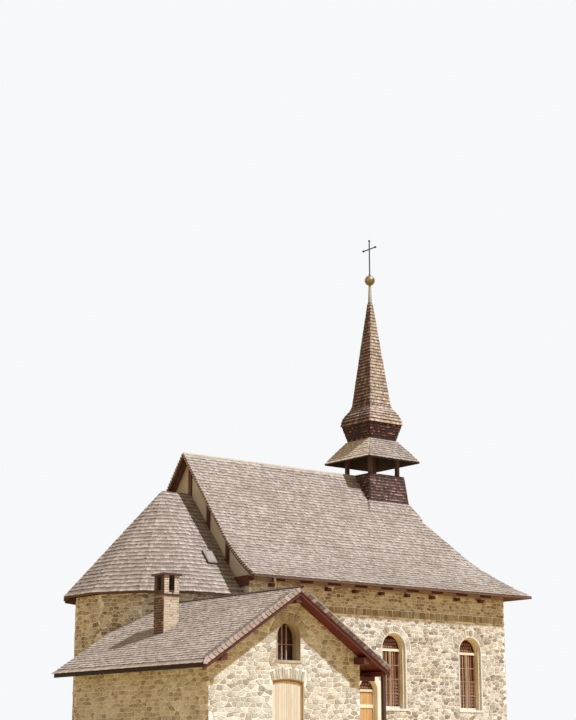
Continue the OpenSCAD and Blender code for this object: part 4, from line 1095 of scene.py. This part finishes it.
# %% Chimney bricks
BRICK_H, BRICK_JOINT = 0.066, 0.011
STACK_FOOT, HEAD_FOOT, HEAD_TOP = 3.30, 5.30, 5.79
SHOULDER = (5.19, 5.27)
HEAD_HOLE = 0.10
half = CHIMNEY_HALF
wall = StoneWall(66)
for out in ((0, -1, 0), (0, 1, 0), (-1, 0, 0), (1, 0, 0)):
    out = Vector(out)
    wall.place = on_wall(Vector((CHIMNEY_X + half, CHIMNEY_Y + half, 0)) + out * half, out)
    row, z = 0, STACK_FOOT
    while z < HEAD_TOP:
        odd = (row + (abs(out.x) > 0.5)) % 2
        joints = (-half + 0.115, 0.06, half - 0.055) if odd else (-0.05,)
        spots = (-half, *joints, half)
        top = z + BRICK_H
        for u0, u1 in zip(spots, spots[1:]):
            parts = [(u0, u1)]
            if z > HEAD_FOOT:
                parts = [(u0, min(u1, -HEAD_HOLE)), (max(u0, HEAD_HOLE), u1)]
            for a, b in parts:
                if b - a > 0.03 and not SHOULDER[0] < top < SHOULDER[1]:
                    tone = 0.95 if row % 5 == 2 else wall.chance.uniform(0.3, 0.88)
                    # The side away from the sun takes the darkest tints: painted shade.
                    if out.x < -0.5:
                        tone = wall.chance.uniform(0.0, 0.14)
                    a, b = a + 0.004, b - 0.004
                    wall.raise_stone([(a, z), (b, z), (b, top), (a, top)],
                                     wall.chance.uniform(0.002, 0.006), tone, 0.04)
        z += BRICK_H + BRICK_JOINT
        row += 1
wall.finish("chimney_bricks", pale_brick, "pale_brick")

# %% [markdown]
# Small joinery. Frames, bars, linings and boards are boxes and swept strips, many to a mesh.
# Each is closed, and the sign of its volume tells whether its faces already point outwards.

# %% Small parts
BLOCK_FACES = [(0, 1, 3, 2), (4, 6, 7, 5), (0, 4, 5, 1), (2, 3, 7, 6), (0, 2, 6, 4),
               (1, 5, 7, 3)]


class SmallParts(Pile):
    """Closed parts. place(u, z, deep) turns a spot on a wall into a point."""

    def add(self, points, faces, tint=None):
        points = [Vector(p) for p in points]
        middle = sum(points, Vector()) / len(points)
        volume = 0.0
        for face in faces:
            start = points[face[0]] - middle
            for one, other in zip(face[1:], face[2:]):
                volume += start.dot((points[one] - middle).cross(points[other] - middle))
        first = len(self.points)
        tint = self.chance.random() if tint is None else tint
        self.points += points
        self.board += [(p.x + p.y + tint * 30, 0.05 + p.z % 0.04) for p in points]
        for face in faces:
            face = face if volume > 0 else face[::-1]
            self.faces.append([first + i for i in face])
            self.tints.append(tint)

    def block(self, place, u, z, deep, tint=None):
        self.add([place(a, b, c) for a in u for b in z for c in deep], BLOCK_FACES, tint)

    def loft(self, rings):
        """A solid through rings of points, all with the same count."""
        n, points = len(rings[0]), [p for ring in rings for p in ring]
        faces = [tuple(range(n - 1, -1, -1)), tuple(range(len(points) - n, len(points)))]
        for i in range(len(rings) - 1):
            for j in range(n):
                k = (j + 1) % n
                faces.append((i * n + j, i * n + k, i * n + n + k, i * n + n + j))
        self.add(points, faces)

    def sweep(self, place, path, section):
        """A strip along a path of (u, z, nu, nz), with a section of (away, deep) corners."""
        self.loft([[place(u + nu * away, z + nz * away, deep) for away, deep in section]
                   for u, z, nu, nz in path])

    def rib(self, place, path, near, far, front, back):
        """A strip of oblong section, from near to far inside an opening's edge."""
        self.sweep(place, path, [(near, front), (far, front), (far, back), (near, back)])

    def disc(self, place, u, z, radius, deep, rise=0.012, sides=10):
        """A shallow round boss, thickest in its middle."""
        turns = [2 * math.pi * i / sides for i in range(sides)]
        points = [place(u + radius * share * math.cos(t), z + radius * share * math.sin(t), d)
                  for share, d in ((1.0, deep), (0.62, deep - rise)) for t in turns]
        points.append(place(u, z, deep - rise * 0.3))
        faces = [tuple(range(sides - 1, -1, -1))]
        for i in range(sides):
            k = (i + 1) % sides
            faces.append((i, k, sides + k, sides + i))
            faces.append((sides + i, sides + k, 2 * sides))
        self.add(points, faces)


def arch_path(cu, radius, spring, sill, steps=20):
    """The edge of a round-headed opening, with the way out of the opening at each spot."""
    turns = [math.pi * (1 - i / steps) for i in range(steps + 1)]
    head = [(cu + radius * math.cos(t), spring + radius * math.sin(t), math.cos(t), math.sin(t))
            for t in turns]
    if sill >= spring:
        return head
    return [(cu - radius, sill, -1, 0)] + head + [(cu + radius, sill, 1, 0)]


# %% [markdown]
# Windows. The mason lines each reveal with pale lime that laps narrowly on to the wall face, and
# the annex's with lime of a stone's colour, darkened as painted shade. Inside stand a painted
# moulding, stiles and thin bars, and the panes of the head and of the lowest rows are blown glass
# with a bullseye.

# %% Windows
nave_window = (WINDOW_SPRING, WINDOW_SILL)
arched_windows = [(front_face, x, WINDOW_R, *nave_window) for x in WINDOW_XS]
arched_windows += [(back_face, -x, WINDOW_R, *nave_window) for x in WINDOW_XS]
arched_windows += [(end_face, y, END_R, *nave_window) for y in END_WINDOW_YS]
arched_windows += [(chancel_faces[1], CHANCEL_WINDOW_X, *CHANCEL_WINDOW),
                   (apse_faces[APSE_WINDOW_SIDE], 0.0, *CHANCEL_WINDOW)]
annex_window = (annex_face, ANNEX_DOOR_X, ANNEX_WINDOW_R, ANNEX_WINDOW_SPRING,
                ANNEX_WINDOW_SILL)
FRAME_DEEP, FRAME_BAR = 0.20, 0.09
NAVE_LINING, ANNEX_LINING = (FRAME_DEEP, 0.045), (0.37, 0.008)
PANE_PITCH, PANE_R, PANE_DEEP = 0.118, 0.052, 0.2705
linings, annex_lining = SmallParts(71), SmallParts(70)
mouldings, bars, panes = SmallParts(72), SmallParts(73), SmallParts(74)


def round_panes(place, cu, spring, first, rows, columns, limit, deep):
    """Panes side by side in the round head of an opening, each row half a pane across."""
    for row in range(rows):
        z = spring + first + row * PANE_PITCH
        for column in range(-columns, columns + 1):
            u = (column + 0.5 * (row % 2)) * PANE_PITCH
            if math.hypot(u, z - spring) < limit:
                panes.disc(place, cu + u, z, PANE_R, deep)


for place, cu, radius, spring, sill in arched_windows + [annex_window]:
    of_annex = radius == ANNEX_WINDOW_R
    parts = annex_lining if of_annex else linings
    end, lip = ANNEX_LINING if of_annex else NAVE_LINING
    parts.sweep(place, arch_path(cu, radius, spring, sill), [
        (lip, -0.020), (-0.010, -0.020), (-0.010, end - 0.001), (0.004, end - 0.001),
        (0.004, 0.004), (lip, 0.004)])
    parts.block(place, (cu - radius - 0.06, cu + radius + 0.06), (sill - 0.07, sill + 0.006),
                (-0.035, 0.004))
    parts.block(place, (cu - radius + 0.012, cu + radius - 0.012), (sill - 0.01, sill + 0.012),
                (0.005, end - 0.001))
place, cu, radius, spring, sill = annex_window
annex_lining.rib(place, arch_path(cu, radius, spring, sill + 0.014), -0.011, -0.034, 0.14, 0.165)
for place, cu, radius, spring, sill in arched_windows:
    path = arch_path(cu, radius, spring, sill + 0.014)
    mouldings.rib(place, path, -0.011, -0.076, 0.070, 0.199)
    mouldings.sweep(place, path, [(-0.070, 0.185), (-0.092, 0.185), (-0.092, 0.269),
                                  (-0.070, 0.201)])
    inner = radius - FRAME_BAR
    low, top = sill + FRAME_BAR, spring - FRAME_BAR
    if radius >= END_R:
        bars.block(place, (cu - 0.047, cu + 0.047), (low, top), (0.190, 0.201))
    for side in (-1, 1):
        for at, wide in ((inner - 0.03, 0.056), (0.55 * inner, 0.022), (0.33 * inner, 0.050)):
            u = cu + side * at
            bars.block(place, (u - wide / 2, u + wide / 2), (low, top), (0.238, 0.270))
    for z in (low + 0.45, low + 0.97, top - 0.50):
        bars.block(place, (cu - inner, cu + inner), (z - 0.016, z + 0.016), (0.232, 0.271))
    rows = int(inner / PANE_PITCH) + 1
    round_panes(place, cu, spring, 0.065, rows, rows, inner - 0.062, PANE_DEEP)
    z = low + 0.10
    while z < 0.5 * (low + top) + 0.04:
        for column in range(-rows, rows + 1):
            if abs(column * PANE_PITCH) < inner - 0.07:
                panes.disc(place, cu + column * PANE_PITCH, z, 0.050, PANE_DEEP, sides=8)
        z += PANE_PITCH
linings.finish("window_reveals", white_reveal, "plaster")
annex_lining.finish("annex_window_reveal", stone_reveal_painted_shade, "plaster")
mouldings.finish("window_mouldings", cream_paint, "cream_wood")
bars.finish("window_stiles", stile_paint, "cream_wood")

# %% [markdown]
# The annex window has bars of pale iron in front of its dark frame: three upright ones and one
# thin bar across.

# %% Annex window bars
BAR_HALF, CROSS_BAR_Z = 0.019, (3.53, 3.55)
place, cu, radius, spring, sill = annex_window
grille = SmallParts(75)
for at in (-0.17, 0.0, 0.17):
    reach = spring + math.sqrt(radius ** 2 - at ** 2) - 0.03
    grille.block(place, (cu + at - BAR_HALF, cu + at + BAR_HALF), (sill + 0.013, reach),
                 (0.325, 0.353))
grille.block(place, (cu - radius + 0.011, cu + radius - 0.011), CROSS_BAR_Z, (0.330, 0.348))
grille.finish("annex_window_bars", pale_iron, "wrought_iron")

# %% [markdown]
# Both nave doors end in a fanlight: dark panes under the round head, set off from the planks by
# a painted transom and ring.

# %% Fanlights of the doors
glazing, joinery = SmallParts(76), SmallParts(77)
for place, cu, radius, spring in ((front_face, DOOR_X, DOOR_R, DOOR_SPRING),
                                  (end_face, 0.0, ENTRANCE_R, ENTRANCE_SPRING)):
    head = arch_path(cu, radius - 0.05, spring, spring)
    n = len(head)
    glazing.add([place(u, z, d) for d in (0.168, 0.178) for u, z, _, _ in head],
                [tuple(range(n)), tuple(range(2 * n - 1, n - 1, -1))]
                + [(i, n + i, n + (i + 1) % n, (i + 1) % n) for i in range(n)])
    joinery.rib(place, arch_path(cu, radius, spring, 0.206), -0.006, -0.060, 0.120, 0.178)
    joinery.block(place, (cu - radius + 0.06, cu + radius - 0.06), (spring - 0.04, spring + 0.04),
                  (0.135, 0.178))
    round_panes(place, cu, spring, 0.10, 6, 5, radius - 0.125, 0.1685)
    for z in (spring - 0.55, spring - 1.45):
        joinery.block(place, (cu - radius + 0.07, cu + radius - 0.07), (z - 0.06, z + 0.06),
                      (0.150, 0.179))
glazing.finish("fanlight_glass", dark_glass, "dark_glass")
joinery.finish("door_joinery", cream_paint, "cream_wood")
panes.finish("bullseye_panes", bullseye_glass, "dark_glass")

# %% [markdown]
# Verges. Shingles stand in a slanted stack along each verge, so that rain drips clear of the
# red board under them. On the annex a course also lies across the roof behind the stack, and a
# light block closes the left stack at the corner of the eaves.

# %% Verges and ridges
SLANT, VERGE_STEP = 0.07, 0.172
CORNER_X, CORNER_Z = ANNEX_X - ANNEX_EAVE, (2.80, 2.92)


def verge_stack(parts, profile, point, outward, step, deep, proud, gap, rise):
    """Slanted board ends along a profile from the eaves up. point(w, z) gives a place."""
    total, at = profile_walker(profile)
    outward = Vector(outward)
    length = 0.02
    while length + step < total:
        corners = []
        for along, down in ((0.0, -rise), (step - gap, -rise), (step - gap + SLANT, deep),
                            (SLANT, deep)):
            w, z, out = at(length + along)
            corners.append(point(w - out[0] * down, z - out[1] * down))
        wobble = parts.chance.uniform(0.0, 0.010)
        points = ([c + outward * (proud + wobble) for c in corners]
                  + [c - outward * 0.006 for c in corners])
        parts.add(points, [(0, 1, 2, 3), (7, 6, 5, 4), (0, 4, 5, 1), (1, 5, 6, 2),
                           (2, 6, 7, 3), (3, 7, 4, 0)])
        length += step


for name, way, finish in (("left", -1, verge_larch), ("right", 1, ridge_larch)):
    ends = SmallParts(81 + way)
    verge_stack(ends, annex_profile, lambda w, z: Vector((ANNEX_X + way * w, ANNEX_VERGE_Y, z)),
                (0, -1, 0), VERGE_STEP, 0.108, 0.016, 0.025, 0.03)
    if way < 0:
        ends.block(on_wall((0, ANNEX_VERGE_Y, 0), (0, -1, 0)),
                   (CORNER_X - 0.03, CORNER_X + 0.11), CORNER_Z, (-0.034, -0.002), 1.0)
    ends.finish("annex_verge_ends_" + name, finish)
stack = BoardStack(83)
total, at = profile_walker(annex_profile)
for way in (-1, 1):
    length = 0.05
    while length < total - 0.40:
        spots = []
        for along, y in ((0.0, ANNEX_VERGE_Y - 0.02), (0.150, ANNEX_VERGE_Y - 0.02),
                         (0.19, ANNEX_VERGE_Y + 0.36), (0.34, ANNEX_VERGE_Y + 0.36)):
            w, z, out = at(length + along)
            spots.append(Vector((ANNEX_X + way * w, y, z)))
        if way > 0:
            spots = [spots[1], spots[0], spots[3], spots[2]]
        stack.add(*spots, Vector((way * out[0], 0, out[1])), 0.020, 0.030, -0.022)
        length += VERGE_STEP
stack.finish("annex_verge_course", silver_shingles)

ends = SmallParts(84)
for way in (-1, 1):
    verge_stack(ends, nave_profile, lambda w, z: Vector((VERGE_X, way * w, z)),
                (-1, 0, 0), 0.125, 0.070, 0.024, 0.052, 0.026)
ends.finish("nave_verge_ends", silver_shingles)

CAP_BOARDS, CAP_WIDE, CAP_TOP, CAP_FOOT = 12, 0.055, 0.046, 0.020
cap = SmallParts(85)
cap_span = ANNEX_REAR_Y - 0.25 - ANNEX_VERGE_Y
cross =[(0.0, CAP_TOP), (CAP_WIDE, CAP_TOP - CAP_WIDE * ANNEX_FALL),
         (CAP_WIDE, CAP_FOOT - CAP_WIDE * ANNEX_FALL), (0.0, CAP_FOOT)]
for way in (-1, 1):
    for i in range(CAP_BOARDS):
        y0 = ANNEX_VERGE_Y + 0.01 + i * cap_span / CAP_BOARDS
        y1 = y0 + cap_span / CAP_BOARDS - 0.004
        if y1 > -NAVE_HALF:
            y1 = min(y1, -CHANCEL_HALF - 0.03)
        if y1 - y0 < 0.1:
            continue
        cap.loft([[Vector((ANNEX_X + way * a, y, ANNEX_RIDGE + b)) for a, b in cross]
                  for y in (y0, y1)])
cap.finish("annex_ridge_boards", dark_timber, "red_brown_timber")

# %% [markdown]
# Under the nave's eaves short greyed boards close the bays between the ends of the ceiling
# beams, over a thin fillet. The rest of each bay stays open and dark.

# %% Eave boards
BEAM_FIRST, BEAM_PITCH, BEAMS = -5.30, 1.25, 10
EAVE_ENDS, EAVE_HALF = (-5.94, 6.09), 3.6
fillet, board = ((6.086, 6.132), (-0.026, -0.001)), ((6.136, 6.216), (-0.014, -0.001))
eaves = SmallParts(87)
for way, place in ((-1, front_face), (1, back_face)):
    eaves.block(place, sorted(-way * x for x in EAVE_ENDS), *fillet)
    for i in range(BEAMS):
        beam = BEAM_FIRST + i * BEAM_PITCH
        x0, x1 = max(beam - 0.505, EAVE_ENDS[0]), min(beam + 0.155, EAVE_ENDS[1])
        if x1 - x0 > 0.1:
            eaves.block(place, sorted((-way * x0, -way * x1)), *board)
eaves.block(end_face, (-EAVE_HALF, EAVE_HALF), *fillet)
for i in range(-3, 4):
    u0, u1 = i * BEAM_PITCH - 0.33, i * BEAM_PITCH + 0.33
    if max(abs(u0), abs(u1)) < EAVE_HALF:
        eaves.block(end_face, (u0, u1), *board)
eaves.finish("nave_eave_boards", eave_paint, "red_brown_timber")

# %% [markdown]
# The hatch in the chancel roof has a light sheet cover on its dark curb.

# %% Hatch cover
HATCH_X, HATCH_Y = GABLE_X - 0.72, -2.25
hatch = SmallParts(86)
tilt = math.atan(CHANCEL_FALL)
hatch_middle = Vector((HATCH_X, HATCH_Y, CHANCEL_RIDGE + CHANCEL_FALL * HATCH_Y))


def on_hatch(u, up, lift):
    return hatch_middle + Vector((u, up * math.cos(tilt) - lift * math.sin(tilt),
                                  up * math.sin(tilt) + lift * math.cos(tilt)))


hatch.block(on_hatch, (-0.195, 0.205), (-0.285, 0.30), (0.091, 0.106))
hatch.block(on_hatch, (-0.155, 0.165), (-0.245, 0.26), (0.1065, 0.118))
hatch.finish("hatch_cover", grey_sheet, "hatch_metal")
